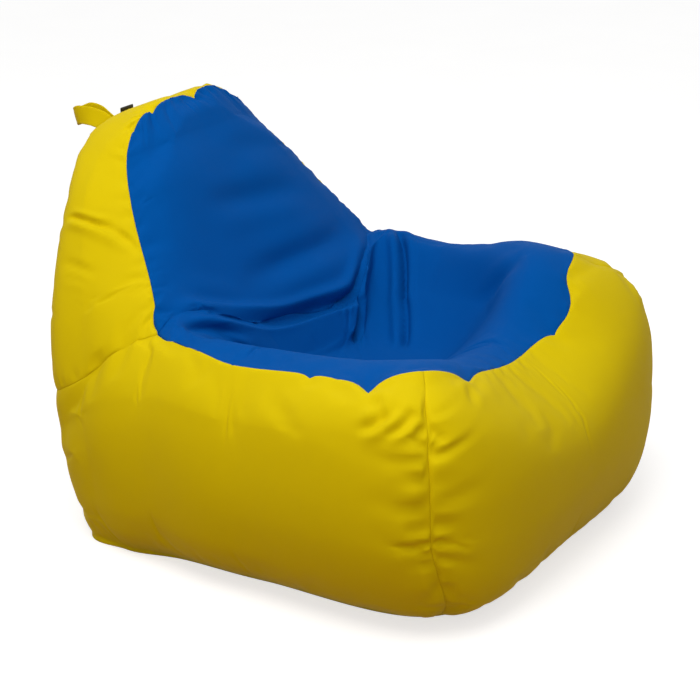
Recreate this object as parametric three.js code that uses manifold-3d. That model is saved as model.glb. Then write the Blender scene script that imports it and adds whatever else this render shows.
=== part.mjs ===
// Bean bag armchair: a sewn two-colour cover, a zipped liner and a filling of loose beads.
// Millimetres. +Z is up, the sitter faces -Y, +X is the sitter's left. The origin lies under
// the middle of the seat, on the flat base.
import * as THREE from 'three';
import Module from 'manifold-3d';
import { mergeVertices } from 'three/addons/utils/BufferGeometryUtils.js';

// ---- Driving dimensions -------------------------------------------------------------------

// Base outline on the floor
const base_half_width = 365;
const base_front = 410;
const base_rear = 405;
const waist_back = 200;         // how far behind the origin the arms meet the back
const flank_back = 310;         // how far behind the origin the widest part of the flank lies

// Hem: the first bulge above the floor
const hem_half_width = 435;
const hem_front = 455;
const hem_rear = 440;
const hem_height = 60;

// Belly: the widest part of the stuffed walls
const belly_half_width = 475;
const belly_front = 490;
const belly_rear = 480;
const belly_height = 200;
const belly_rear_height = 160;

// Shoulder: where the walls turn inwards
const shoulder_half_width = 460;
const shoulder_front = 465;
const shoulder_rear = 500;
const shoulder_arm_height = 350;
const shoulder_corner_height = 395;
const shoulder_lip_height = 305;
const shoulder_rear_height = 210;

// Top seam of the walls
const seam_half_width = 410;
const seam_front = 345;
const seam_rear = 510;
const arm_height = 425;
const corner_height = 485;
const lip_height = 395;
const waist_height = 450;
const waist_rear_height = 260;

// Seat bucket
const crest_half_width = 340;
const crest_front = 275;
const crest_arm_height = 457;
const crest_corner_height = 505;
const crest_lip_height = 415;
const bucket_half_width = 250;
const bucket_front = 190;
const bucket_height = 370;
const seat_half_width = 140;
const seat_front = 120;
const seat_rear = 70;
const seat_height = 292;
const seat_dip = 4;             // how much deeper the middle of the seat lies
const crease_half_width = 370;
const crease_back = 155;
const crease_height = 360;

// Back
const lumbar_half_width = 315;
const lumbar_front = 205;
const lumbar_height = 455;
const lumbar_rear = 535;
const thoracic_half_width = 255;
const thoracic_front = 310;
const thoracic_height = 640;
const thoracic_rear = 555;
const crown_half_width = 200;
const crown_front = 370;
const crown_rear = 540;
const ridge_half_width = 163;
const ridge_back = 425;
const back_height = 780;
const crown_drop = 60;          // from the top down to the front edge of the crown
const crown_rear_drop = 39;     // from the top down to the rear seam
const crown_height = back_height - crown_drop;
const crown_rear_height = back_height - crown_rear_drop;

// Fabric layers
const cover_thickness = 1.2;
const liner_thickness = 0.8;
const layer_ease = 0.4;
const seam_gap = 0.8;
const seat_clearance = 0.3;     // between a fixed piece and what it is fixed to

// Zips, one in the cover and one in the liner behind it
const zip_length = 320;
const tape_width = 16;
const tape_thickness = 1.0;
const tape_gap = 1.0;           // between the two tapes, under the coil
const tape_tail = 6;            // tape sewn in past each end of the slot
const zip_window = 9;           // half height of the slot that shows the zip
const coil_width = 6;
const coil_height = 2.4;
const stop_length = 4;
const stop_room = 1;            // cloth edge beyond each end stop
const slider_length = 14;
const slider_wall = 1.8;
const slider_clearance = 0.4;
const bail_pin_radius = 0.8;
const bail_post = 3.6;          // length of the two posts along the zip
const pull_length = 26;
const pull_thickness = 1.2;
const pull_eye_clearance = 0.35;
const liner_zip_depth = 10;     // step from the liner down to its own zip
const liner_flange = 11;
const well_room = 3;            // between the cover's zip tapes and the liner's slot round them

// Carry handle at the top of the back
const handle_centre = -91;
const handle_span = 60;
const handle_reach = 25;        // from its fold line to the far side of the loop
const handle_fold = 30;         // from the back to the fold line
const handle_drop = 5;          // fold line below the top of the rear seam
const handle_droop = 10;        // degrees
const handle_swing = 30;        // degrees each way
const strap_width = 36;
const strap_thickness = 2.5;
const strap_bend = 11;

// Plain tab sewn into the rear seam
const tab_centre = -32;
const tab_length = 31;
const tab_height = 8;
const tab_thickness = 1.6;
const tab_root = 32;            // how far the tab's blank runs down into the seam

// ---- Surface of the stuffed shape ---------------------------------------------------------

const columns_per_span = 2;
const rows_per_span = 2;
const crown_rows = 3;                          // station rows up to the seam above the rear panel
const half_stations = 7;                       // front centre to rear centre
const ring_stations = 2 * (half_stations - 1);
const ring_columns = ring_stations * columns_per_span;
const corner_stations = 1;                     // spans from the front centre to the front corner
const waist_stations = 3;                      // and to the corner where the arm meets the back
const rear_stations = half_stations - 1;
const rear_corner_stations = rear_stations - 1;

// Seven stations round one half: front centre, front corner, arm, waist, flank, rear corner, rear
const floorRing = [
  [0, -base_front, 0],
  [0.85 * base_half_width, -0.84 * base_front, 0],
  [base_half_width, -0.061 * base_front, 0],
  [1.04 * base_half_width, 0.775 * waist_back, 0],
  [1.07 * base_half_width, 0.887 * flank_back, 0],
  [0.96 * base_half_width, 0.92 * base_rear, 0],
  [0, base_rear, 0],
];

const hemRing = [
  [0, -hem_front, hem_height],
  [0.85 * hem_half_width, -0.89 * hem_front, hem_height],
  [hem_half_width, -0.044 * hem_front, hem_height],
  [hem_half_width, 0.825 * waist_back, hem_height],
  [0.99 * hem_half_width, 0.968 * flank_back, hem_height],
  [0.84 * hem_half_width, 0.92 * hem_rear, hem_height],
  [0, hem_rear, hem_height],
];

const bellyRing = [
  [0, -belly_front, 0.93 * belly_height],
  [0.895 * belly_half_width, -0.825 * belly_front, belly_height],
  [belly_half_width, -0.03 * belly_front, belly_height],
  [0.97 * belly_half_width, 0.85 * waist_back, belly_height],
  [0.94 * belly_half_width, flank_back, 0.95 * belly_height],
  [0.8 * belly_half_width, 0.905 * belly_rear, belly_rear_height],
  [0, belly_rear, belly_rear_height],
];

const shoulderRing = [
  [0, -shoulder_front, shoulder_lip_height],
  [0.9 * shoulder_half_width, -0.84 * shoulder_front, shoulder_corner_height],
  [shoulder_half_width, -0.02 * shoulder_front, shoulder_arm_height],
  [0.957 * shoulder_half_width, waist_back, 0.97 * shoulder_arm_height],
  [0.945 * shoulder_half_width, 1.097 * flank_back, 0.79 * shoulder_arm_height],
  [0.805 * shoulder_half_width, 0.89 * shoulder_rear, shoulder_rear_height],
  [0, shoulder_rear, shoulder_rear_height],
];

const waistCorner = [crease_half_width, waist_back, waist_height];

const seamRing = [
  [0, -seam_front, lip_height],
  [0.815 * seam_half_width, -0.97 * seam_front, corner_height],
  [seam_half_width, 0, arm_height],
  waistCorner,
  [1.035 * seam_half_width, 1.113 * flank_back, 0.755 * waist_height],
  [0.9 * seam_half_width, 0.89 * seam_rear, 1.07 * waist_rear_height],
  [0, seam_rear, waist_rear_height],
];

const creaseRing = [
  ...seamRing.slice(0, waist_stations),
  waistCorner,
  [0.69 * crease_half_width, 0.95 * waist_back, 0.985 * waist_height],
  [0.35 * crease_half_width, crease_back, 1.042 * crease_height],
  [0, crease_back, crease_height],
];

const crestRing = [
  [0, -crest_front, crest_lip_height],
  [0.72 * crest_half_width, -0.89 * crest_front, crest_corner_height],
  [crest_half_width, 0.018 * crest_front, crest_arm_height],
  [0.97 * crest_half_width, 0.8 * waist_back, crest_arm_height],
  [0.65 * crest_half_width, 0.775 * waist_back, 0.92 * crest_arm_height],
  [0.35 * crest_half_width, 0.923 * crease_back, 1.014 * crease_height],
  [0, 0.839 * crease_back, 0.972 * crease_height],
];

const bucketRing = [
  [0, -bucket_front, 0.95 * bucket_height],
  [0.76 * bucket_half_width, -0.87 * bucket_front, 1.04 * bucket_height],
  [bucket_half_width, 0, bucket_height],
  [bucket_half_width, 0.839 * crease_back, bucket_height],
  [0.68 * bucket_half_width, 0.839 * crease_back, 0.945 * bucket_height],
  [0.36 * bucket_half_width, 0.71 * crease_back, 0.889 * crease_height],
  [0, 0.645 * crease_back, 0.861 * crease_height],
];

const seatRing = [
  [0, -seat_front, seat_height],
  [0.79 * seat_half_width, -0.92 * seat_front, seat_height],
  [seat_half_width, 0, seat_height],
  [seat_half_width, 1.143 * seat_rear, seat_height],
  [0.71 * seat_half_width, 1.143 * seat_rear, seat_height],
  [0.36 * seat_half_width, seat_rear, seat_height],
  [0, seat_rear, seat_height],
];

// Four stations of the back: side seam, quarter, near the middle, middle
const lumbarSide = [lumbar_half_width, 1.268 * lumbar_front, 1.132 * lumbar_height];
const thoracicSide = [thoracic_half_width, 1.129 * thoracic_front, 0.977 * thoracic_height];
const crownSide = [crown_half_width, 1.081 * crown_front, 0.972 * crown_height];

const lumbarFront = [
  lumbarSide,
  [0.75 * lumbar_half_width, 1.171 * lumbar_front, 1.099 * lumbar_height],
  [0.38 * lumbar_half_width, 1.049 * lumbar_front, 1.022 * lumbar_height],
  [0, lumbar_front, lumbar_height],
];

const thoracicFront = [
  thoracicSide,
  [0.7 * thoracic_half_width, 1.048 * thoracic_front, 1.008 * thoracic_height],
  [0.35 * thoracic_half_width, thoracic_front, 1.008 * thoracic_height],
  [0, thoracic_front, thoracic_height],
];

const crownFront = [
  crownSide,
  [0.8 * crown_half_width, 1.041 * crown_front, 0.989 * crown_height],
  [0.42 * crown_half_width, 1.008 * crown_front, crown_height],
  [0, crown_front, crown_height],
];

const ridge = [
  [ridge_half_width, 0.984 * ridge_back, 0.964 * back_height],
  [0.7 * ridge_half_width, 0.991 * ridge_back, 0.987 * back_height],
  [0.36 * ridge_half_width, 0.995 * ridge_back, 0.997 * back_height],
  [0, ridge_back, back_height],
];

const lumbarRear = [
  lumbarSide,
  [1.2 * lumbar_half_width, 0.71 * lumbar_rear, 1.011 * lumbar_height],
  [1.06 * lumbar_half_width, 0.905 * lumbar_rear, 0.923 * lumbar_height],
  [0, lumbar_rear, 0.879 * lumbar_height],
];

const thoracicRear = [
  thoracicSide,
  [1.14 * thoracic_half_width, 0.79 * thoracic_rear, 0.961 * thoracic_height],
  [thoracic_half_width, 0.92 * thoracic_rear, 0.922 * thoracic_height],
  [0, thoracic_rear, 0.922 * thoracic_height],
];

const crownRear = [
  crownSide,
  [1.02 * crown_half_width, 0.86 * crown_rear, 0.962 * crown_rear_height],
  [0.75 * crown_half_width, 0.99 * crown_rear, 1.003 * crown_rear_height],
  [0, crown_rear, crown_rear_height],
];

const flip = ([x, y, z]) => [-x, y, z];

// A closed ring from its half: the stations between the two centres are repeated mirrored
function mirrorRing(half) {
  return [...half, ...half.slice(1, -1).reverse().map(flip)];
}

function mirrorArch(half) {
  return [...half, ...half.slice(0, -1).reverse().map(flip)];
}

function blendPoint(a, b, c, d, t) {
  return b.map((_, i) => 0.5 * (2 * b[i] + (c[i] - a[i]) * t
    + (2 * a[i] - 5 * b[i] + 4 * c[i] - d[i]) * t * t
    + (3 * b[i] - a[i] - 3 * c[i] + d[i]) * t * t * t));
}

// Smooth curve through the stations, with equal steps between each pair
function spline(stations, steps, closed) {
  const count = stations.length;
  const extend = (p, q) => p.map((value, i) => 2 * value - q[i]);
  const at = (i) => {
    if (closed) return stations[(i + count) % count];
    if (i < 0) return extend(stations[0], stations[1]);
    if (i >= count) return extend(stations[count - 1], stations[count - 2]);
    return stations[i];
  };
  const curve = [];
  for (let i = 0; i < (closed ? count : count - 1); i++) {
    for (let s = 0; s < steps; s++) {
      curve.push(blendPoint(at(i - 1), at(i), at(i + 1), at(i + 2), s / steps));
    }
  }
  if (!closed) curve.push(stations[count - 1]);
  return curve;
}

// Grid through rows of stations: grid[column][row]
function loft(stationRows, closed) {
  const lines = stationRows[0].map((_, k) => spline(stationRows.map((row) => row[k]), rows_per_span, false));
  const rows = lines[0].map((_, r) => spline(lines.map((line) => line[r]), columns_per_span, closed));
  const columns = rows[0].map((_, c) => rows.map((row) => row[c]));
  return columns;
}

const wall = loft([floorRing, hemRing, bellyRing, shoulderRing, seamRing].map(mirrorRing), true);
const centre = [0, (seat_rear - seat_front) / 2, seat_height - seat_dip];
const seatCentre = Array(ring_stations).fill(centre);
const seat = loft([...[creaseRing, crestRing, bucketRing, seatRing].map(mirrorRing), seatCentre], true);
const front = loft([creaseRing.slice(waist_stations), lumbarFront, thoracicFront, crownFront, ridge]
  .map(mirrorArch), false);
const rear = loft([seamRing.slice(waist_stations), lumbarRear, thoracicRear, crownRear, ridge]
  .map(mirrorArch), false);

// Grids that are sewn together share the points of their seam
const first_back_column = waist_stations * columns_per_span;
for (let c = 0; c < ring_columns; c++) {
  const beside_back = Math.min(c, ring_columns - c) > first_back_column;
  if (!beside_back) seat[c][0] = wall[c].at(-1);
}
for (let c = 0; c < front.length; c++) {
  front[c][0] = seat[first_back_column + c][0];
  rear[c][0] = wall[first_back_column + c].at(-1);
}

// The lower rear is flat where the zip is sewn in
const rear_column = rear_stations * columns_per_span;
const zip_rise = belly_rear_height - hem_height;
const zip_run = belly_rear - hem_rear;
const zip_tilt = Math.atan2(zip_run, zip_rise);
for (const c of [rear_column - 1, rear_column, rear_column + 1]) {
  for (let r = rows_per_span; r <= 2 * rows_per_span; r++) {
    const share = r / rows_per_span - 1;
    wall[c][r] = [wall[c][r][0], hem_rear + share * zip_run, hem_height + share * zip_rise];
  }
}

// ---- Skin: one closed welded surface, each face tagged with the panel it is cut from ------

const skinPoints = [];
const skinFaces = [];
const pointIndex = new Map();

function weld(point) {
  const key = point.map((value) => Math.round(value * 1000)).join(',');
  if (!pointIndex.has(key)) {
    pointIndex.set(key, skinPoints.length);
    skinPoints.push(new THREE.Vector3(...point));
  }
  return pointIndex.get(key);
}

// The same face seen from the other side, split along the same diagonal
const turned = ([first, ...others]) => [first, ...others.reverse()];

function addFace(points, panel) {
  const corners = [...new Set(points.map(weld))];
  if (corners.length > 2) skinFaces.push({ corners, panel });
}

function addGrid(grid, closed, outward, panelAt) {
  const count = grid.length;
  for (let c = 0; c < (closed ? count : count - 1); c++) {
    const next = grid[(c + 1) % count];
    for (let r = 0; r < grid[c].length - 1; r++) {
      const quad = [grid[c][r], next[r], next[r + 1], grid[c][r + 1]];
      if (c >= count / 2 - 0.5) quad.push(quad.shift());
      addFace(outward ? quad : turned(quad), panelAt(c / columns_per_span, r / rows_per_span));
    }
  }
}

function wallPanel(station) {
  if (station < corner_stations) return 'front_panel';
  if (station < rear_corner_stations) return 'side_panel_left';
  if (station < ring_stations - rear_corner_stations) return 'rear_base_panel';
  if (station < ring_stations - corner_stations) return 'side_panel_right';
  return 'front_panel';
}

function rearPanel(station, row) {
  const corner = rear_corner_stations - waist_stations;
  const side = station < corner || station >= 2 * (rear_stations - waist_stations) - corner;
  return side || row >= crown_rows ? 'back_gusset' : 'back_rear_panel';
}

const halfway = (point) => [point[0] / 2, point[1] / 2, 0];
const base = wall.map((column) => [column[0], halfway(column[0]), [0, 0, 0]]);

addGrid(wall, true, true, wallPanel);
addGrid(seat, true, true, () => 'seat_panel');
addGrid(front, false, false, () => 'back_front_panel');
addGrid(rear, false, true, rearPanel);
addGrid(base, true, false, () => 'base_panel');

function faceNormal({ corners }) {
  const [a, b, c, d] = corners.map((i) => skinPoints[i]);
  const first = c.clone().sub(a);
  const second = (d ?? a).clone().sub(b);
  return first.cross(second).normalize();
}

// Outward direction at each point, lengthened so that an offset keeps its distance from the faces,
// but no further than this share of a right step where faces meet sharply
const least_share = 0.6;

function offsetDirections() {
  const normals = skinFaces.map(faceNormal);
  const touching = skinPoints.map(() => []);
  skinFaces.forEach((face, f) => face.corners.forEach((i) => touching[i].push(normals[f])));
  return touching.map((list) => {
    const mean = list.reduce((sum, n) => sum.add(n), new THREE.Vector3()).normalize();
    const share = list.reduce((sum, n) => sum + n.dot(mean), 0) / list.length;
    return mean.multiplyScalar(1 / Math.max(share, least_share));
  });
}

const outwards = offsetDirections();
const layerPoint = (i, depth) => skinPoints[i].clone().addScaledVector(outwards[i], -depth);

function toGeometry(points, polygons) {
  const positions = [];
  for (const polygon of polygons) {
    for (let k = 1; k < polygon.length - 1; k++) {
      for (const i of [polygon[0], polygon[k], polygon[k + 1]]) positions.push(...points[i].toArray());
    }
  }
  const geometry = new THREE.BufferGeometry();
  geometry.setAttribute('position', new THREE.Float32BufferAttribute(positions, 3));
  return geometry;
}

// The whole stuffed shape, a given depth under the cover's outer face
function shapeGeometry(depth) {
  return toGeometry(skinPoints.map((_, i) => layerPoint(i, depth)), skinFaces.map((face) => face.corners));
}

// A closed bag of cloth: its outer face and, turned inwards, its inner face
function bagGeometry(depth, thickness) {
  const count = skinPoints.length;
  const points = [depth, depth + thickness].flatMap((d) => skinPoints.map((_, i) => layerPoint(i, d)));
  const outer = skinFaces.map((face) => face.corners);
  const inner = outer.map((corners) => turned(corners.map((i) => i + count)));
  return toGeometry(points, [...outer, ...inner]);
}

// One cut panel with its thickness, drawn back from its seams by half of the seam gap
function panelGeometry(name) {
  const faces = skinFaces.filter((face) => face.panel === name);
  const edges = new Map();
  for (const { corners } of faces) {
    corners.forEach((a, k) => {
      const b = corners[(k + 1) % corners.length];
      if (!edges.delete(`${b},${a}`)) edges.set(`${a},${b}`, [a, b]);
    });
  }
  const border = [...edges.values()];
  const onBorder = new Set(border.flat());
  const inwards = new Map();
  for (const { corners } of faces) {
    const middle = corners.reduce((sum, i) => sum.add(skinPoints[i]), new THREE.Vector3())
      .divideScalar(corners.length);
    for (const i of corners.filter((corner) => onBorder.has(corner))) {
      const step = middle.clone().sub(skinPoints[i]).normalize();
      inwards.set(i, (inwards.get(i) ?? new THREE.Vector3()).add(step));
    }
  }
  const used = [...new Set(faces.flatMap((face) => face.corners))];
  const place = new Map(used.map((i, k) => [i, k]));
  const drawBack = (i) => inwards.get(i)?.clone().setLength(seam_gap / 2) ?? new THREE.Vector3();
  const atDepth = (depth) => used.map((i) => layerPoint(i, depth).add(drawBack(i)));
  const points = [...atDepth(0), ...atDepth(cover_thickness)];
  const under = (i) => place.get(i) + used.length;
  const outer = faces.map(({ corners }) => corners.map((i) => place.get(i)));
  const inner = faces.map(({ corners }) => turned(corners.map(under)));
  const rim = border.map(([a, b]) => [place.get(b), place.get(a), under(a), under(b)]);
  return toGeometry(points, [...outer, ...inner, ...rim]);
}

// ---- Solids -------------------------------------------------------------------------------

const wasm = await Module();
wasm.setup();

const weld_distance = 1e-4;
const join_depth = 0.5;         // joined bodies run this far into each other
const cut_margin = 1;           // a cutter runs this far past what it cuts
const round_segments = 16;      // sides of a full turn, or of one arc of an outline

function toSolid(geometry) {
  const bare = geometry.clone();
  bare.deleteAttribute('normal');
  bare.deleteAttribute('uv');
  const merged = mergeVertices(bare, weld_distance);
  return new wasm.Manifold(new wasm.Mesh({
    numProp: 3,
    vertProperties: Float32Array.from(merged.attributes.position.array),
    triVerts: Uint32Array.from(merged.index.array),
  }));
}

function fromSolid(solid) {
  const { vertProperties, triVerts } = solid.getMesh();
  const geometry = new THREE.BufferGeometry();
  geometry.setAttribute('position', new THREE.BufferAttribute(vertProperties, 3));
  geometry.setIndex(new THREE.BufferAttribute(triVerts, 1));
  return geometry.toNonIndexed();
}

// A box between two corners
function boxGeometry([x0, y0, z0], [x1, y1, z1]) {
  const box = new THREE.BoxGeometry(x1 - x0, y1 - y0, z1 - z0);
  return box.translate((x0 + x1) / 2, (y0 + y1) / 2, (z0 + z1) / 2);
}

// An outline in the Y-Z plane, given as a shape of (y, z), run along X between two places
function alongX(outline, x0, x1) {
  const settings = { depth: x1 - x0, bevelEnabled: false, curveSegments: round_segments };
  const body = new THREE.ExtrudeGeometry(outline, settings);
  const turn = new THREE.Matrix4().set(0, 0, 1, x0, 1, 0, 0, 0, 0, 1, 0, 0, 0, 0, 0, 1);
  return body.applyMatrix4(turn);
}

const group = new THREE.Group();
const yellow = { color: 0xc9ae0a, roughness: 0.62, metalness: 0 };
const blue = { color: 0x034a92, roughness: 0.62, metalness: 0 };
const white = { color: 0xe8e8e4, roughness: 0.7, metalness: 0 };
const beads = { color: 0xf4f4f2, roughness: 0.8, metalness: 0 };
const black = { color: 0x141414, roughness: 0.6, metalness: 0 };
const nickel = { color: 0x9a9a96, roughness: 0.35, metalness: 0.9 };

function addPiece(name, geometry, look, parent = group) {
  const piece = new THREE.Mesh(geometry, new THREE.MeshStandardMaterial(look));
  piece.name = name;
  parent.add(piece);
  return piece;
}

// ---- Zip frame: X along the zip, Y out of the cover, Z up the cloth ------------------------

const zipFrame = new THREE.Group();
zipFrame.position.set(0, hem_rear + zip_run / 2, hem_height + zip_rise / 2);
zipFrame.rotation.x = -zip_tilt;
zipFrame.updateMatrix();
group.add(zipFrame);

const half_zip = zip_length / 2;
const tape_out = -(cover_thickness + slider_clearance);
const tape_in = tape_out - tape_thickness;
const window_end = half_zip + stop_length + stop_room;  // half length of the slot that shows the zip
const tape_end = window_end + tape_tail;
const coil_in = tape_out + seat_clearance;
const liner_out = -(cover_thickness + layer_ease);
const liner_in = liner_out - liner_thickness;
const fill_out = liner_in - layer_ease;
const well_side = tape_width + well_room;       // half height of the liner's slot
const well_end = tape_end + well_room;          // half length of the liner's slot
const flange_out = liner_in - seat_clearance;
const flange_in = flange_out - tape_thickness;
const floor_out = flange_in - liner_zip_depth;
const floor_in = floor_out - tape_thickness;
const liner_coil_in = floor_out + seat_clearance;

function zipBox(endX, sideZ, innerY, outerY) {
  return boxGeometry([-endX, innerY, -sideZ], [endX, outerY, sideZ]);
}

const zipCut = (geometry) => toSolid(geometry.applyMatrix4(zipFrame.matrix));

// ---- Cover panels -------------------------------------------------------------------------

for (const name of ['seat_panel', 'back_front_panel']) addPiece(name, panelGeometry(name), blue);

const yellowPanels = ['back_gusset', 'back_rear_panel', 'side_panel_left', 'side_panel_right', 'front_panel',
  'base_panel'];
for (const name of yellowPanels) addPiece(name, panelGeometry(name), yellow);

const reach = 4 * liner_zip_depth;              // a cutter's length out of the cover
const coverWindow = zipBox(window_end, zip_window, -reach, reach);
const rearBase = toSolid(panelGeometry('rear_base_panel')).subtract(zipCut(coverWindow));
addPiece('rear_base_panel', fromSolid(rearBase), yellow);

// ---- Cover zip ----------------------------------------------------------------------------

function addTape(name, side) {
  const inner = tape_gap / 2;
  const [low, high] = side > 0 ? [inner, tape_width] : [-tape_width, -inner];
  addPiece(name, boxGeometry([-tape_end, tape_in, low], [tape_end, tape_out, high]), yellow, zipFrame);
}

const coil_flat = 0.55;         // share of the coil's width and height left by its rounded edges

function addCoil(name, innerY, look) {
  const outline = new THREE.Shape();
  const side = coil_width / 2;
  const flat = coil_flat * side;
  const shoulder = innerY + coil_flat * coil_height;
  outline.moveTo(innerY, -side);
  outline.lineTo(shoulder, -side);
  outline.lineTo(innerY + coil_height, -flat);
  outline.lineTo(innerY + coil_height, flat);
  outline.lineTo(shoulder, side);
  outline.lineTo(innerY, side);
  addPiece(name, alongX(outline, -half_zip, half_zip), look, zipFrame);
}

function addStop(name, side, innerY) {
  const near = half_zip + seat_clearance;
  const [low, high] = side > 0 ? [near, near + stop_length] : [-near - stop_length, -near];
  const half = coil_width / 2 + slider_clearance;
  addPiece(name, boxGeometry([low, innerY, -half], [high, innerY + coil_height, half]), nickel, zipFrame);
}

// Slider: a top plate with two lips that run beside the coil
const slider_x = half_zip - slider_length / 2;
const slider_half = coil_width / 2 + slider_clearance + slider_wall;

function sliderGeometry(coilY) {
  const plate_in = coilY + coil_height + slider_clearance;
  const plate_out = plate_in + slider_wall;
  const lip = slider_half - slider_wall;
  const outline = new THREE.Shape();
  outline.moveTo(coilY, -slider_half);
  outline.lineTo(plate_out, -slider_half);
  outline.lineTo(plate_out, slider_half);
  outline.lineTo(coilY, slider_half);
  outline.lineTo(coilY, lip);
  outline.lineTo(plate_in, lip);
  outline.lineTo(plate_in, -lip);
  outline.lineTo(coilY, -lip);
  return alongX(outline, slider_x - slider_length / 2, slider_x + slider_length / 2);
}

const plate_top = coil_in + coil_height + slider_clearance + slider_wall;
const eye_bore = bail_pin_radius + pull_eye_clearance;
const eye_radius = eye_bore + pull_thickness;
const pin_y = plate_top + eye_radius + slider_clearance;
const post_in = slider_half - slider_wall;

// Bail: two posts on the slider with a pin between them, which the pull turns on
function bailSolid() {
  const post = bail_post / 2;
  const top = pin_y + bail_pin_radius + join_depth;
  const sides = [1, -1].map((side) => {
    const [low, high] = side > 0 ? [post_in, slider_half] : [-slider_half, -post_in];
    return toSolid(boxGeometry([slider_x - post, plate_top - join_depth, low], [slider_x + post, top, high]));
  });
  const pin_length = 2 * (post_in + join_depth);
  const pin = new THREE.CylinderGeometry(bail_pin_radius, bail_pin_radius, pin_length, round_segments);
  pin.rotateX(Math.PI / 2).translate(slider_x, pin_y, 0);
  return sides[0].add(sides[1]).add(toSolid(pin));
}

function pullGeometry() {
  const half = post_in - slider_clearance;
  const eye = new THREE.CylinderGeometry(eye_radius, eye_radius, 2 * half, round_segments);
  const bore = new THREE.CylinderGeometry(eye_bore, eye_bore, 2 * (half + cut_margin), round_segments);
  for (const round of [eye, bore]) round.rotateX(Math.PI / 2).translate(slider_x, pin_y, 0);
  const blade = boxGeometry(
    [slider_x - pull_length, pin_y - pull_thickness / 2, -half],
    [slider_x - eye_bore, pin_y + pull_thickness / 2, half],
  );
  return fromSolid(toSolid(eye).add(toSolid(blade)).subtract(toSolid(bore)));
}

addTape('cover_zip_tape_upper', 1);
addTape('cover_zip_tape_lower', -1);
addCoil('cover_zip_coil', coil_in, yellow);
addStop('cover_zip_stop_left', 1, coil_in);
addStop('cover_zip_stop_right', -1, coil_in);
addPiece('cover_zip_slider', fromSolid(toSolid(sliderGeometry(coil_in)).add(bailSolid())), nickel, zipFrame);
addPiece('cover_zip_pull', pullGeometry(), nickel, zipFrame);

// ---- Liner bag with its own zip at the bottom of a cloth well ------------------------------

const linerWindow = zipBox(well_end, well_side, -reach, reach);
const linerBag = toSolid(bagGeometry(cover_thickness + layer_ease, liner_thickness));
addPiece('liner_bag', fromSolid(linerBag.subtract(zipCut(linerWindow))), white);

const wellFlange = zipBox(well_end + liner_flange, well_side + liner_flange, flange_in, flange_out);
const wellWall = [well_end + tape_thickness, well_side + tape_thickness];
const wellBody = zipBox(...wellWall, floor_in, flange_in + join_depth);
const wellSpace = zipBox(well_end, well_side, floor_out, flange_out + cut_margin);
const linerWell = toSolid(wellFlange).add(toSolid(wellBody)).subtract(toSolid(wellSpace));
addPiece('liner_zip_well', fromSolid(linerWell), white, zipFrame);

addCoil('liner_zip_coil', liner_coil_in, white);
addPiece('liner_zip_slider', sliderGeometry(liner_coil_in), white, zipFrame);

// ---- Bead filling -------------------------------------------------------------------------

const flangePocket = zipBox(
  well_end + liner_flange + layer_ease,
  well_side + liner_flange + layer_ease,
  flange_in - layer_ease,
  reach,
);
const wellPocket = zipBox(
  well_end + tape_thickness + layer_ease,
  well_side + tape_thickness + layer_ease,
  floor_in - layer_ease,
  reach,
);
const filling = toSolid(shapeGeometry(-fill_out)).subtract(zipCut(flangePocket)).subtract(zipCut(wellPocket));
addPiece('bead_fill', fromSolid(filling), beads);

// ---- Carry handle and tab at the top of the back -------------------------------------------

const outside = toSolid(shapeGeometry(-seat_clearance));

const handleFrame = new THREE.Group();
handleFrame.position.set(handle_centre, crown_rear + handle_fold, crown_rear_height - handle_drop);
handleFrame.rotation.x = -THREE.MathUtils.degToRad(handle_droop);
handleFrame.updateMatrix();
group.add(handleFrame);

const strap_half = strap_width / 2;
const bend_segments = 6;
const leg_outer = handle_span / 2;
const leg_inner = leg_outer - strap_thickness;

// The loop seen from above: two legs and the far side, bent round at two corners
function loopOutline() {
  const bend = strap_bend;
  const inner_bend = bend - strap_thickness;
  const corner = handle_reach - bend;
  const outline = new THREE.Shape();
  outline.moveTo(leg_outer, -strap_half);
  outline.lineTo(leg_outer, corner);
  outline.absarc(leg_outer - bend, corner, bend, 0, Math.PI / 2, false);
  outline.absarc(bend - leg_outer, corner, bend, Math.PI / 2, Math.PI, false);
  outline.lineTo(-leg_outer, -strap_half);
  outline.lineTo(-leg_inner, -strap_half);
  outline.absarc(bend - leg_outer, corner, inner_bend, Math.PI, Math.PI / 2, true);
  outline.absarc(leg_outer - bend, corner, inner_bend, Math.PI / 2, 0, true);
  outline.lineTo(leg_inner, -strap_half);
  return outline;
}

function loopGeometry() {
  const settings = { depth: strap_width, bevelEnabled: false, curveSegments: bend_segments };
  const band = new THREE.ExtrudeGeometry(loopOutline(), settings).translate(0, 0, -strap_half);
  const side = new THREE.Shape();
  side.absarc(0, 0, strap_half, Math.PI / 2, 3 * Math.PI / 2, false);
  side.lineTo(2 * handle_reach, -strap_half);
  side.lineTo(2 * handle_reach, strap_half);
  return fromSolid(toSolid(band).intersect(toSolid(alongX(side, -handle_span, handle_span))));
}

// A sewn strap end: it comes out of the rear seam and ends in a hollow round the fold line
function anchorGeometry(side) {
  const fold = Math.PI / 2 - THREE.MathUtils.degToRad(handle_swing);
  const hollow = strap_half + seat_clearance;
  const lip = hollow * Math.cos(fold) + cut_margin;
  const [low, high] = side > 0 ? [leg_inner, leg_outer] : [-leg_outer, -leg_inner];
  const strip = toSolid(boxGeometry([low, -handle_fold - strap_half, -strap_half], [high, -lip, strap_half]));
  const round = new THREE.Shape();
  round.absarc(0, 0, hollow, 0, 2 * Math.PI, false);
  const bent = strip.subtract(toSolid(alongX(round, low - cut_margin, high + cut_margin)));
  const placed = toSolid(fromSolid(bent).applyMatrix4(handleFrame.matrix)).subtract(outside);
  return fromSolid(placed);
}

addPiece('carry_handle', loopGeometry(), yellow, handleFrame);
addPiece('handle_anchor_left', anchorGeometry(1), yellow);
addPiece('handle_anchor_right', anchorGeometry(-1), yellow);

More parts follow.
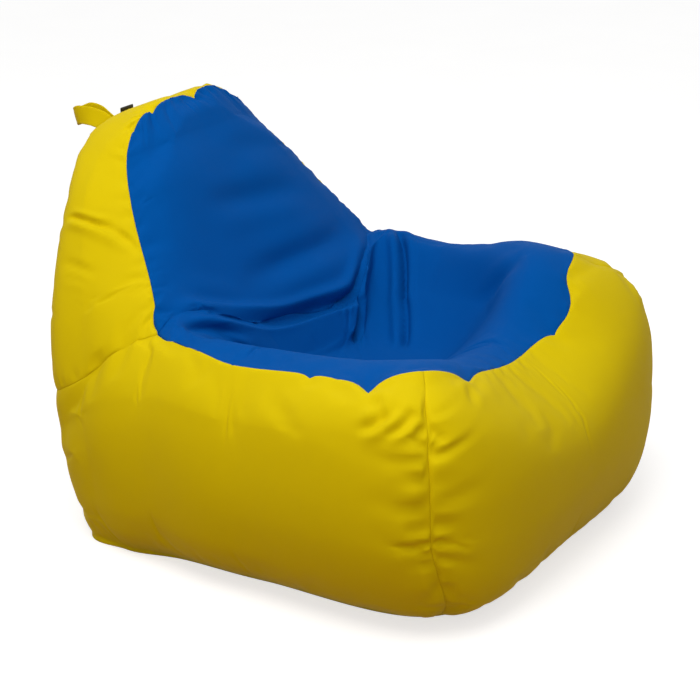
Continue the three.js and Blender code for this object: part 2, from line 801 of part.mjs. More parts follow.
const tabBlank = boxGeometry(
  [tab_centre - tab_length / 2, crown_rear - tab_thickness, crown_rear_height - tab_root],
  [tab_centre + tab_length / 2, crown_rear, crown_rear_height + tab_height],
);
addPiece('seam_tab', fromSolid(toSolid(tabBlank).subtract(outside)), black);

export default group;
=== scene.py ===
"""Bean bag armchair: a stuffed two-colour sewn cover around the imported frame."""

import math

import bmesh
import bpy
import numpy as np
from mathutils import Matrix, Vector
from mathutils.bvhtree import BVHTree


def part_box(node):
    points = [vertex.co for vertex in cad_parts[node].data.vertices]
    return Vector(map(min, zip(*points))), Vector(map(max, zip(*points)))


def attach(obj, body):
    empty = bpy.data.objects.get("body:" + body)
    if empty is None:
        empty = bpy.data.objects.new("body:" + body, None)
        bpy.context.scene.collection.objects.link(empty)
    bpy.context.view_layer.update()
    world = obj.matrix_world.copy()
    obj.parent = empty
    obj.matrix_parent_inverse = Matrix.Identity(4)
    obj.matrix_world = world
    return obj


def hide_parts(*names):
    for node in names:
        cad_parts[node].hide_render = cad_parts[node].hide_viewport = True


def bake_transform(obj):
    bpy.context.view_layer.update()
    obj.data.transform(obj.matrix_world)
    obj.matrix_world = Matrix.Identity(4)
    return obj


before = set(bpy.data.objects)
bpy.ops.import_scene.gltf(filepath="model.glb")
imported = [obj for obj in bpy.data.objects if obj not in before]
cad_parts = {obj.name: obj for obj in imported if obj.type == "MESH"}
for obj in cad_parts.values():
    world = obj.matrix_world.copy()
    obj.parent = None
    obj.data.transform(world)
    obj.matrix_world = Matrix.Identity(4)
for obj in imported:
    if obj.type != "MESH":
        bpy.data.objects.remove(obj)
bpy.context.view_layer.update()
scene = bpy.context.scene

# ---- Studio -------------------------------------------------------------------------------
# A pale floor that runs to the horizon, a wide soft lamp overhead, a weak one in front and an
# even sky. The camera stands off the sitter's right front and looks a little down.

VIEW_TURN, VIEW_RISE, VIEW_DISTANCE, VIEW_WIDTH = -57.2, 21.0, 3.439, 1.357
VIEW_CENTRE = Vector((0, 0.029, 0.325))
SENSOR = 36.0


class Nodes:
    """A node tree that is written as Python expressions."""

    def __init__(self, tree):
        self.tree = tree

    def add(self, kind, values=None, out=0, **settings):
        node = self.tree.nodes.new(kind)
        stops = settings.pop("stops", None)
        for name, value in settings.items():
            setattr(node, name, value)
        if stops:
            ramp = node.color_ramp
            while len(ramp.elements) < len(stops):
                ramp.elements.new(0.5)
            for element, (place, colour) in zip(ramp.elements, stops):
                element.position, element.color = place, (*colour, 1)
        for name, value in (values or {}).items():
            self.feed(node.inputs[name], value)
        return Socket(self, node, node.outputs[out]) if len(node.outputs) else node

    def feed(self, socket, value):
        if isinstance(value, Socket):
            self.tree.links.new(value.socket, socket)
        else:
            socket.default_value = value


class Socket:
    """One output socket; arithmetic on it adds Math nodes."""

    def __init__(self, nodes, node, socket):
        self.nodes, self.node, self.socket = nodes, node, socket

    def math(self, operation, other=None, first=None):
        pair = {0: self if first is None else first}
        if other is not None:
            pair[1] = other
        return self.nodes.add("ShaderNodeMath", pair, operation=operation)

    def __add__(self, other):
        return self.math("ADD", other)

    def __sub__(self, other):
        return self.math("SUBTRACT", other)

    def __mul__(self, other):
        return self.math("MULTIPLY", other)

    def __rsub__(self, other):
        return self.math("SUBTRACT", self, first=other)

    def __getitem__(self, name):
        return Socket(self.nodes, self.node, self.node.outputs[name])

    __radd__ = __add__
    __rmul__ = __mul__

    def wave(self, pitch):
        """A sine along this value, from 0 to 1, that repeats at each pitch."""
        return (self * (math.tau / pitch)).math("SINE") * 0.5 + 0.5


def new_material(name):
    material = bpy.data.materials.new(name)
    material.use_nodes = True
    material.node_tree.nodes.clear()
    return material, Nodes(material.node_tree)


turn, rise = math.radians(VIEW_TURN), math.radians(VIEW_RISE)
towards_camera = Vector((math.sin(turn) * math.cos(rise), -math.cos(turn) * math.cos(rise), math.sin(rise)))
camera = bpy.data.objects.new("camera", bpy.data.cameras.new("camera"))
camera.data.sensor_width = SENSOR
camera.data.lens = SENSOR * VIEW_DISTANCE / VIEW_WIDTH
camera.location = VIEW_CENTRE + towards_camera * VIEW_DISTANCE
camera.rotation_mode = "QUATERNION"
camera.rotation_quaternion = (-towards_camera).to_track_quat("-Z", "Y")
scene.collection.objects.link(camera)
scene.camera = camera


def shows_white(look):
    """1 for the rays that see the studio itself, to the camera or by way of gloss or glass."""
    rays = look.add("ShaderNodeLightPath")
    return (rays["Is Camera Ray"] + rays["Is Glossy Ray"] + rays["Is Transmission Ray"]).math("MINIMUM", 1.0)


def add_lamp(name, place, size, power, colour):
    lamp = bpy.data.lights.new(name, "AREA")
    lamp.shape, lamp.size, lamp.energy, lamp.color = "DISK", size, power, colour
    holder = bpy.data.objects.new(name, lamp)
    holder.location = place
    holder.rotation_mode = "QUATERNION"
    holder.rotation_quaternion = (Vector(place) - Vector((0, 0, 0.35))).to_track_quat("Z", "Y")
    scene.collection.objects.link(holder)


add_lamp("overhead", (-1.1, -0.2, 2.9), 2.2, 55, (1.0, 0.98, 0.95))
add_lamp("front_fill", (-2.6, -1.2, 1.1), 1.6, 11, (1.0, 0.99, 0.97))

world = bpy.data.worlds.new("studio")
scene.world = world
world.use_nodes = True
world.node_tree.nodes.clear()
sky = Nodes(world.node_tree)
up = sky.add("ShaderNodeSeparateXYZ", {0: sky.add("ShaderNodeTexCoord")["Generated"]})["Z"]
glow = sky.add("ShaderNodeValToRGB", {0: up * 0.5 + 0.5}, stops=[
    (0.0, (0.20, 0.12, 0.06)), (0.5, (0.50, 0.49, 0.48)), (1.0, (0.64, 0.64, 0.64))])
light = sky.add("ShaderNodeBackground", {"Color": glow, "Strength": 0.9})
white = sky.add("ShaderNodeBackground", {"Color": (1, 1, 1, 1), "Strength": 1.0})
mixed = sky.add("ShaderNodeMixShader", {0: shows_white(sky), 1: light, 2: white})
sky.add("ShaderNodeOutputWorld", {"Surface": mixed})

floor_material, look = new_material("studio_floor")
speck = look.add("ShaderNodeTexNoise", {"Vector": look.add("ShaderNodeTexCoord")["Object"], "Scale": 3.0})
bare = look.add("ShaderNodeBsdfDiffuse", {"Color": (0.32, 0.135, 0.035, 1), "Roughness": 0.8})
shade = look.add("ShaderNodeBsdfDiffuse", {"Color": (0.62, 0.62, 0.62, 1)})
paper = look.add("ShaderNodeEmission", {"Color": (1, 1, 1, 1), "Strength": speck * 0.02 + 0.62})
pale = look.add("ShaderNodeAddShader", {0: shade, 1: paper})
mixed = look.add("ShaderNodeMixShader", {0: shows_white(look), 1: bare, 2: pale})
look.add("ShaderNodeOutputMaterial", {"Surface": mixed})

FLOOR_HALF = 30.0
floor_mesh = bpy.data.meshes.new("studio_floor")
floor_mesh.from_pydata([(x, y, 0) for x, y in ((-1, -1), (1, -1), (1, 1), (-1, 1))], [], [(0, 1, 2, 3)])
floor_mesh.transform(Matrix.Diagonal((FLOOR_HALF, FLOOR_HALF, 1, 1)))
studio_floor = bpy.data.objects.new("studio_floor", floor_mesh)
studio_floor.data.materials.append(floor_material)
scene.collection.objects.link(studio_floor)

scene.view_settings.view_transform = "Standard"

# ---- Stuffed shape ------------------------------------------------------------------------
# The shape that the beads push the sewn cover into. It is drawn as rings of stations that a
# smooth surface runs through: twelve round the chair, from the middle of the front lip and
# counter-clockwise over the sitter's left arm, and as many rows as the panel needs.

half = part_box("side_panel_left")[1].x
deep_front = -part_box("front_panel")[0].y
deep_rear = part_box("back_rear_panel")[1].y
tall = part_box("back_gusset")[1].z
size_front, size_rear = np.array((half, deep_front, tall)), np.array((half, deep_rear, tall))

STATIONS = 12
WAIST = 3

# Shares of the half width, of the depth before or behind the origin, and of the height
FLOOR = [(0, -0.84, 0), (0.65, -0.70, 0), (0.76, -0.05, 0), (0.79, 0.28, 0), (0.82, 0.49, 0), (0.73, 0.67, 0),
         (0, 0.73, 0)]
HEM = [(0, -0.93, 0.077), (0.77, -0.83, 0.077), (0.91, -0.04, 0.077), (0.91, 0.30, 0.077),
       (0.90, 0.54, 0.077), (0.76, 0.73, 0.077), (0, 0.79, 0.077)]
BELLY = [(0, -1.00, 0.237), (0.89, -0.83, 0.256), (0.99, -0.03, 0.256), (0.96, 0.31, 0.256),
         (0.93, 0.56, 0.244), (0.79, 0.78, 0.205), (0, 0.86, 0.205)]
SHOULDER = [(0, -0.95, 0.391), (0.87, -0.80, 0.506), (0.96, -0.02, 0.449), (0.92, 0.36, 0.436),
            (0.91, 0.61, 0.353), (0.77, 0.80, 0.269), (0, 0.90, 0.269)]
SEAM = [(0, -0.70, 0.506), (0.70, -0.68, 0.622), (0.86, 0, 0.545), (0.77, 0.36, 0.577),
        (0.89, 0.62, 0.436), (0.77, 0.82, 0.359), (0, 0.92, 0.333)]
CREASE = SEAM[:4] + [(0.53, 0.34, 0.568), (0.27, 0.28, 0.481), (0, 0.28, 0.462)]
CREST = [(0, -0.56, 0.532), (0.51, -0.50, 0.647), (0.71, 0.01, 0.586), (0.69, 0.29, 0.586),
         (0.46, 0.28, 0.538), (0.25, 0.26, 0.468), (0, 0.23, 0.449)]
BUCKET = [(0, -0.39, 0.449), (0.40, -0.34, 0.494), (0.52, 0, 0.474), (0.52, 0.23, 0.474),
          (0.36, 0.23, 0.449), (0.19, 0.20, 0.410), (0, 0.18, 0.397)]
SEAT = [(0, -0.24, 0.374), (0.23, -0.22, 0.374), (0.29, 0, 0.374), (0.29, 0.14, 0.374),
        (0.21, 0.14, 0.374), (0.10, 0.13, 0.374), (0, 0.13, 0.374)]
MIDDLE = [(0, -0.05, 0.369)] * 7

LUMBAR_FRONT = [(0.66, 0.47, 0.660), (0.49, 0.43, 0.641), (0.25, 0.39, 0.596), (0, 0.37, 0.583)]
THORACIC_FRONT = [(0.53, 0.63, 0.801), (0.37, 0.58, 0.827), (0.19, 0.56, 0.827), (0, 0.56, 0.821)]
CROWN_FRONT = [(0.42, 0.72, 0.897), (0.33, 0.69, 0.913), (0.18, 0.67, 0.923), (0, 0.67, 0.923)]
RIDGE = [(0.34, 0.75, 0.964), (0.24, 0.76, 0.987), (0.12, 0.76, 0.997), (0, 0.76, 1.0)]
LUMBAR_REAR = [LUMBAR_FRONT[0], (0.79, 0.68, 0.590), (0.70, 0.87, 0.538), (0, 0.96, 0.513)]
THORACIC_REAR = [THORACIC_FRONT[0], (0.61, 0.79, 0.788), (0.53, 0.92, 0.756), (0, 1.0, 0.756)]
CROWN_REAR = [CROWN_FRONT[0], (0.43, 0.83, 0.905), (0.315, 0.952, 0.925), (0, 0.95, 0.930)]

# How far single stations stand off the mirrored pattern, because the beads have settled unevenly
RING_LEANS = {
    "FLOOR": {7: (-0.030, 0.020, 0), 8: (-0.025, 0, 0)},
    "SHOULDER": {1: (-0.030, 0.01, 0.018)},
    "SEAM": {1: (-0.10, 0.060, 0.030), 9: (0, 0, 0.012), 10: (0, 0, 0.021)},
    "CREST": {0: (0, 0, -0.016), 1: (-0.05, 0.040, 0.004), 2: (0, 0, -0.006), 4: (0.02, -0.05, -0.008),
              5: (0.04, -0.065, 0), 6: (0, 0, 0.010), 7: (0, 0, 0.014), 9: (0, 0, -0.018), 10: (0, 0, -0.018),
              11: (0, 0, -0.090)},
    "CREASE": {4: (0.025, -0.055, -0.012), 5: (0.05, -0.065, 0.0), 6: (0, 0, 0.024), 7: (0, 0, 0.040),
               8: (0, 0, 0.018)},
    "BUCKET": {4: (0.01, -0.03, 0), 5: (0.02, -0.04, 0), 11: (0, 0, -0.030)}}
ARCH_LEANS = {
    "LUMBAR": {0: (0.018, 0, 0.006), 1: (0.03, -0.035, -0.010), 2: (0.03, -0.040, 0)},
    "THORACIC": {0: (0.022, 0, 0.008), 1: (0.010, 0, 0.004)},
    "CROWN": {0: (0.026, 0, 0.008), 1: (0.016, 0, 0.006)},
    "RIDGE": {0: (0.024, 0, 0.008), 1: (0.014, 0, 0.012), 2: (0, 0, 0.006)}}
RIDGE_RISE = 0.013


def ring(shares, leans=None):
    """A closed ring of stations from one half, with single stations moved."""
    points = np.array([np.array(s) * (size_front if s[1] < 0 else size_rear) for s in shares])
    points = np.concatenate([points, points[-2:0:-1] * (-1, 1, 1)])
    for station, lean in (leans or {}).items():
        points[station] += np.array(lean) * size_front
    return points


def arch(shares, leans=None):
    """An open arch of stations over the back, from one half, with single stations moved."""
    points = np.array(shares) * size_rear
    points = np.concatenate([points, points[-2::-1] * (-1, 1, 1)])
    for station, lean in (leans or {}).items():
        points[station] += np.array(lean) * size_rear
    return points


def weights(places, count, closed):
    """Shares of the stations at each place along a smooth curve through them."""
    table = np.zeros((len(places), count))
    for row, place in zip(table, places):
        span = int(place) if closed else min(int(place), count - 2)
        t = place - span
        shares = (t * t - t / 2 - t**3 / 2, 1 - 2.5 * t * t + 1.5 * t**3,
                  t / 2 + 2 * t * t - 1.5 * t**3, (t**3 - t * t) / 2)
        for k, share in zip(range(span - 1, span + 3), shares):
            if closed:
                row[k % count] += share
            elif k < 0:
                row[0] += 2 * share
                row[1] -= share
            elif k >= count:
                row[-1] += 2 * share
                row[-2] -= share
            else:
                row[k] += share
    return table


def loft(rows, column_places, row_places, closed):
    """A grid of points, [column, row], on the smooth surface through rows of stations."""
    stations = np.array(rows)
    across = weights(column_places, stations.shape[1], closed)
    down = weights(row_places, stations.shape[0], False)
    return np.einsum("ci,rj,jik->crk", across, down, stations)


def spots(counts, bunch=0.6):
    """Places along the spans between stations, closer together beside each station."""
    steps = [np.arange(count) / count for count in counts]
    spans = [k + t - bunch * np.sin(math.tau * t) / math.tau for k, t in enumerate(steps)]
    return np.concatenate(spans + [[len(counts)]])


def neighbour_mean(values, a, b):
    """The mean of the values at each point's neighbours, along edges from a to b."""
    size = len(values)
    count = np.bincount(a, minlength=size) + np.bincount(b, minlength=size)
    sums = [np.bincount(a, values[b, k], size) + np.bincount(b, values[a, k], size) for k in range(3)]
    return np.stack(sums, -1) / np.maximum(count, 1)[:, None]


def polygons(quads):
    """Faces from quads of point numbers, without the corners that meet at a pole."""
    faces = [list(dict.fromkeys(quad)) for quad in quads.tolist()]
    return [face for face in faces if len(face) > 2]


class Shape:
    """The welded surface: its points, and the point numbers of each panel group's grid."""

    def __init__(self, columns, wall_rows, seat_rows, back_rows):
        self.columns = {"ring": spots(columns + columns[::-1])[:-1]}
        places = self.columns["ring"]
        first, last = (int(np.searchsorted(places, k)) for k in (WAIST, STATIONS - WAIST))
        self.columns["arch"] = places[first:last + 1] - WAIST
        self.rows = {name: spots(counts) for name, counts in
                     (("wall", wall_rows), ("seat", seat_rows), ("front", back_rows), ("rear", back_rows))}
        ridge = np.array(RIDGE) + (0, 0, RIDGE_RISE)

        def leaned(name, shares):
            return ring(shares, RING_LEANS.get(name))

        def arched(name, shares):
            return arch(shares, ARCH_LEANS[name])

        rows = {
            "wall": [leaned("FLOOR", FLOOR), ring(HEM), ring(BELLY), leaned("SHOULDER", SHOULDER),
                     leaned("SEAM", SEAM)],
            "seat": [leaned("CREASE", CREASE), leaned("CREST", CREST), leaned("BUCKET", BUCKET), ring(SEAT),
                     ring(MIDDLE)],
            "front": [arch(CREASE[WAIST:]), arched("LUMBAR", LUMBAR_FRONT),
                      arched("THORACIC", THORACIC_FRONT), arched("CROWN", CROWN_FRONT),
                      arched("RIDGE", ridge)],
            "rear": [arch(SEAM[WAIST:]), arch(LUMBAR_REAR, {0: ARCH_LEANS["LUMBAR"][0]}),
                     arched("THORACIC", THORACIC_REAR), arched("CROWN", CROWN_REAR), arched("RIDGE", ridge)]}
        grid = {name: loft(rows[name], places, self.rows[name], True) for name in ("wall", "seat")}
        grid |= {name: loft(rows[name], self.columns["arch"], self.rows[name], False)
                 for name in ("front", "rear")}

        def meet(name, edge):
            fade = np.clip(1 - self.rows[name], 0, 1) ** 2
            grid[name] += (edge - grid[name][:, 0])[:, None] * fade[None, :, None]

        behind = (np.arange(len(places)) > first) & (np.arange(len(places)) < last)
        meet("seat", np.where(behind[:, None], grid["seat"][:, 0], grid["wall"][:, -1]))
        meet("front", grid["seat"][first:last + 1, 0])
        meet("rear", grid["wall"][first:last + 1, -1])

        count = 0
        self.index = {}
        for name in ("wall", "seat", "front", "rear"):
            size = grid[name].shape[:2]
            self.index[name] = count + np.arange(size[0] * size[1]).reshape(size)
            count += size[0] * size[1]
        wall, seat, front, rear = (self.index[n] for n in ("wall", "seat", "front", "rear"))
        seat[~behind, 0] = wall[~behind, -1]
        seat[:, -1] = seat[0, -1]
        front[:, 0] = seat[first:last + 1, 0]
        rear[:, 0] = wall[first:last + 1, -1]
        rear[[0, -1]] = front[[0, -1]]
        rear[:, -1] = front[:, -1]
        shrink = np.array([1, 0.94, 0.8, 0.6, 0.4, 0.2, 0])[None, :, None]
        grid["base"] = grid["wall"][:, :1] * shrink
        self.index["base"] = count + np.arange(grid["base"].shape[0] * 7).reshape(-1, 7)
        self.index["base"][:, 0] = wall[:, 0]
        self.index["base"][:, -1] = self.index["base"][0, -1]
        all_points = np.zeros((self.index["base"].max() + 1, 3))
        for name, points in grid.items():
            all_points[self.index[name].ravel()] = points.reshape(-1, 3)
        self.points = all_points
        self.faces = {name: self.quads(name) for name in self.index}
        self.all_quads = quads = np.concatenate([corners.reshape(-1, 4) for corners in self.faces.values()])
        pairs = np.concatenate([np.stack([quads[:, k - 1], quads[:, k]], -1) for k in range(4)])
        self.edges = pairs[pairs[:, 0] != pairs[:, 1]]

    def quads(self, name):
        """The corners of each face of one grid, as point numbers, so that the face looks outwards."""
        index = self.index[name]
        closed = name in ("wall", "seat", "base")
        near = index if closed else index[:-1]
        far = np.roll(index, -1, 0) if closed else index[1:]
        corners = np.stack([near[:, :-1], far[:, :-1], far[:, 1:], near[:, 1:]], -1)
        if name in ("front", "base"):
            corners = corners[..., ::-1]
        return corners

    def normals(self):
        total = np.zeros_like(self.points)
        for corners in self.faces.values():
            quad = corners.reshape(-1, 4)
            a, b, c, d = (self.points[quad[:, k]] for k in range(4))
            face = np.cross(c - a, d - b)
            for k in range(4):
                np.add.at(total, quad[:, k], face)
        return total / np.maximum(np.linalg.norm(total, axis=1, keepdims=True), 1e-12)

    def average(self, values):
        """The mean of the values at each point's neighbours."""
        return neighbour_mean(values, *self.edges.T)

    def soft_normals(self, times=24):
        """Directions outwards that turn gently over a ridge or a seam."""
        normals = self.normals()
        for _ in range(times):
            normals = 0.5 * normals + 0.5 * self.average(normals)
        return normals / np.maximum(np.linalg.norm(normals, axis=1, keepdims=True), 1e-12)

    def column(self, name, station):
        """The column of a grid that stands nearest to a station."""
        return int(np.abs(self.columns["ring" if name in ("wall", "seat") else "arch"] - station).argmin())

    def row(self, name, place):
        """The row of a grid nearest to a place down it."""
        return int(np.abs(self.rows[name] - place).argmin())

    def between(self, name, stations, rows):
        """Points of the cloth at places between the stations and rows of a grid."""
        columns = self.columns["ring" if name in ("wall", "seat") else "arch"]
        c = np.interp(stations, columns, np.arange(len(columns)))
        r = np.interp(rows, self.rows[name], np.arange(len(self.rows[name])))
        left, top = c.astype(int), r.astype(int)
        index = self.index[name]
        right, low = np.minimum(left + 1, index.shape[0] - 1), np.minimum(top + 1, index.shape[1] - 1)
        s, t = (c - left)[:, None], (r - top)[:, None]
        return ((1 - s) * (1 - t) * self.points[index[left, top]]
                + s * (1 - t) * self.points[index[right, top]]
                + (1 - s) * t * self.points[index[left, low]]
                + s * t * self.points[index[right, low]])

    def place(self, name, station, row):
        """The number of the point at a station and row of a grid."""
        return self.index[name][self.column(name, station), self.row(name, row)]


COLUMNS, WALL_ROWS = [66, 60, 48, 24, 32, 56], [12, 20, 26, 26]
SEAT_ROWS, BACK_ROWS = [22, 22, 16, 10], [30, 34, 20, 20]
shape = Shape(COLUMNS, WALL_ROWS, SEAT_ROWS, BACK_ROWS)


# ---- Seam lines ---------------------------------------------------------------------------
# Every seam is sewn inside out and turned, so the cloth rolls over it in a round edge that is
# never sharp, and the stitches themselves are hidden in the groove.

ROLL, ROLL_TIMES = 0.016, 60
EASE_RIDGE, EASE_CREASE = (0.062, 500), (0.048, 250)


def fade(value, start, end):
    """Falls smoothly from 1 at start to 0 at end."""
    t = np.clip((value - start) / (end - start), 0, 1)
    return 1 - t * t * (3 - 2 * t)


def seam_run(grid, station=None, row=None):
    """For each point of a grid: how far along a seam it is, and how far from it."""
    points = shape.points[shape.index[grid]]
    down = np.cumsum(np.linalg.norm(np.diff(points, axis=1, prepend=points[:, :1]), axis=2), 1)
    around = np.cumsum(np.linalg.norm(np.diff(points, axis=0, prepend=points[:1]), axis=2), 0)
    if station is None:
        r = shape.row(grid, row)
        return around[:, r:r + 1] + 0 * down, down - down[:, r:r + 1]
    c = shape.column(grid, station)
    return down[c:c + 1] + 0 * around, around - around[c:c + 1]


def seam_distance():
    """How far each point lies from the nearest seam, over the cloth."""
    far = np.full(len(shape.points), 1.0)
    runs = [("wall", None, 0), ("wall", None, 4), ("seat", None, 0), ("front", 0, None), ("front", 6, None),
            ("front", None, 0), ("front", None, 4), ("rear", None, 0), ("rear", None, 4), ("rear", 0, None),
            ("rear", 6, None)] + [("wall", k, None) for k in (1, 5, 7, 11)]
    for grid, station, row in runs:
        np.minimum.at(far, shape.index[grid], np.abs(seam_run(grid, station, row)[1]))
    shelf = shape.row("rear", 3)
    for station in (2, 4):
        off = np.abs(seam_run("rear", station)[1])
        np.minimum.at(far, shape.index["rear"][:, :shelf + 1], off[:, :shelf + 1])
    first, last = (shape.column("rear", k) for k in (2, 4))
    off = np.abs(seam_run("rear", row=3)[1])
    np.minimum.at(far, shape.index["rear"][first:last + 1], off[first:last + 1])
    return far


def round_seams():
    """Roll the cloth round every seam."""
    share = 0.5 * np.exp(-(seam_distance() / ROLL) ** 2) * (1 - fade(shape.points[:, 2], 0.0, 0.02))
    normals = shape.soft_normals()
    for _ in range(ROLL_TIMES):
        rise = ((shape.average(shape.points) - shape.points) * normals).sum(1) * share
        shape.points += rise[:, None] * normals


def ease(centre, radius, times):
    """Let the cloth round one point find a smooth way across, as a stretched film would."""
    far = np.linalg.norm(shape.points - centre, axis=1)
    near = shape.edges[(far[shape.edges] < radius).any(1)]
    used, local = np.unique(near, return_inverse=True)
    a, b = local.reshape(near.shape).T
    values, share = shape.points[used], 0.5 * fade(far[used], radius * 0.55, radius)[:, None]
    for _ in range(times):
        values = values + share * (neighbour_mean(values, a, b) - values)
    shape.points[used] = values


# The tips of the ridge, and the two points where the crease, the waist and the rim meet
for station in (0, 6):
    ease(shape.points[shape.place("front", station, 4)], *EASE_RIDGE)
    ease(shape.points[shape.place("front", station, 0)], *EASE_CREASE)
round_seams()

# ---- Swelling -----------------------------------------------------------------------------
# The cover is cut a little larger than it stands and its seams draw up, so the beads blow the
# cloth out between them. A cloth simulation on a coarser copy of the surface gives that swell.

SWELL_FRAMES, SWELL_CAP = 18, 0.014
BROAD_TIMES, BROAD_SHARE, WRINKLE_SHARE = 80, 0.15, 0.55
STILL_FLOOR, STILL_ZIP, STILL_SEAT = (0.0, 0.03), ((0.17, 0.24), (0.03, 0.08), (0.02, 0.04)), (0.02, 0.07)
PIN_LEAST = 0.06
ZIP_CENTRE = (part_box("cover_zip_coil")[0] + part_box("cover_zip_coil")[1]) / 2
ZIP_TILT = math.radians(21.8)
zip_out = np.array((0, math.cos(ZIP_TILT), -math.sin(ZIP_TILT)))
zip_up = np.array((0, math.sin(ZIP_TILT), math.cos(ZIP_TILT)))


def zip_frame(points):
    """How far points stand along, out of and up the plane of the cover's zip."""
    offset = points - np.array(ZIP_CENTRE)
    return offset[:, 0], offset @ zip_out, offset @ zip_up


def near_zip(points, along_ends, up_ends, out_ends):
    """How far points stand out of the zip's plane, and a share that fades from 1 beside the zip to 0."""
    along, out, up = zip_frame(points)
    share = fade(np.abs(along), *along_ends) * fade(np.abs(up), *up_ends) * fade(np.abs(out), *out_ends)
    return out, share


def seam_points(shape):
    """The point numbers along every seam of the cover."""
    wall, rear, front = shape.index["wall"], shape.index["rear"], shape.index["front"]
    ring_at = [shape.column("wall", k) for k in (1, 5, 7, 11)]
    runs = [wall[:, -1], wall[:, 0], rear[:, -1], front[0], front[-1], shape.index["seat"][:, 0]]
    runs += [wall[c] for c in ring_at]
    shelf = shape.row("rear", 3)
    runs += [rear[shape.column("rear", k), :shelf + 1] for k in (2, 4)]
    runs.append(rear[shape.column("rear", 2):shape.column("rear", 4) + 1, shelf])
    return np.unique(np.concatenate(runs))


def swell(shape):
    """Blow the cloth out between its seams, by a simulation on a surface of half as many rows."""
    coarse = Shape(*([count // 2 for count in counts]
                     for counts in (COLUMNS, WALL_ROWS, SEAT_ROWS, BACK_ROWS)))
    mesh = bpy.data.meshes.new("swell")
    mesh.from_pydata(coarse.points.tolist(), [], polygons(coarse.all_quads))
    bag = bpy.data.objects.new("swell", mesh)
    scene.collection.objects.link(bag)
    fixed = np.maximum(fade(coarse.points[:, 2], *STILL_FLOOR), near_zip(coarse.points, *STILL_ZIP)[1])
    centre = coarse.points[coarse.index["seat"][0, -1]]
    fixed = np.maximum(fixed, fade(np.linalg.norm(coarse.points - centre, axis=1), *STILL_SEAT))
    hold = PIN_LEAST + (1 - PIN_LEAST) * fixed
    held, drawn = bag.vertex_groups.new(name="held"), bag.vertex_groups.new(name="drawn")
    for number, weight in enumerate(hold.tolist()):
        held.add([number], weight, "REPLACE")
    drawn.add(seam_points(coarse).tolist(), 1.0, "REPLACE")
    cloth = bag.modifiers.new("Cloth", "CLOTH")
    settings = cloth.settings
    settings.quality, settings.mass = 5, 0.25
    settings.tension_stiffness, settings.compression_stiffness = 18, 6
    settings.shear_stiffness, settings.bending_stiffness = 4, 0.3
    settings.use_pressure, settings.uniform_pressure_force = True, 3.0
    settings.vertex_group_mass, settings.pin_stiffness = "held", 1.0
    settings.vertex_group_shrink, settings.shrink_min, settings.shrink_max = "drawn", -0.03, 0.03
    settings.effector_weights.gravity = 0
    cloth.point_cache.frame_end = SWELL_FRAMES
    for step in range(1, SWELL_FRAMES + 1):
        scene.frame_set(step)
    swollen = bag.evaluated_get(bpy.context.evaluated_depsgraph_get()).data
    moved = np.empty(len(coarse.points) * 3)
    swollen.vertices.foreach_get("co", moved)
    moved = moved.reshape(-1, 3) - coarse.points
    scene.frame_set(1)
    bpy.data.objects.remove(bag)
    bpy.data.meshes.remove(mesh)
    moved *= np.minimum(1, SWELL_CAP / np.maximum(np.linalg.norm(moved, axis=1, keepdims=True), 1e-9))
    broad = moved
    for _ in range(BROAD_TIMES):
        broad = 0.5 * broad + 0.5 * coarse.average(broad)
    moved = (WRINKLE_SHARE * (moved - broad) + BROAD_SHARE * broad) * (1 - fixed)[:, None]
    finer = np.zeros_like(shape.points)
    for name, index in coarse.index.items():
        if name == "base":
            continue
        fine_index = shape.index[name]
        closed = name in ("wall", "seat")
        across = weights(np.arange(fine_index.shape[0]) / 2, index.shape[0], closed)
        down = weights(np.arange(fine_index.shape[1]) / 2, index.shape[1], False)
        finer[fine_index] = np.einsum("ci,rj,ijk->crk", across, down, moved[index])
    shape.points += finer


swell(shape)

# ---- Folds and gathers --------------------------------------------------------------------
# Sewn cloth over loose beads never lies smooth. The back hangs over the seat in one deep
# crease, the arms pleat where they bend, the rim is caught up in notches, and every long seam
# gathers the cloth beside it into short puckers.

GROOVE, GROOVE_WIDTH, PILLOW, PILLOW_WIDTH = 0.0006, 0.0032, 0.0028, 0.022
PINCH, TIGHT, SPREAD, LOOSE_ROUNDS = 0.0042, 0.35, 0.75, (9, 3)
LOOSE, SEAM_STIFF, STIFF_WIDTH, LOOSE_LEAST, LOOSE_REACH = 0.5, 0.3, 0.003, 0.1, (0.045, 0.070)
FLAT_ZIP = ((0.192, 0.240), (0.034, 0.066), (0.03, 0.06))


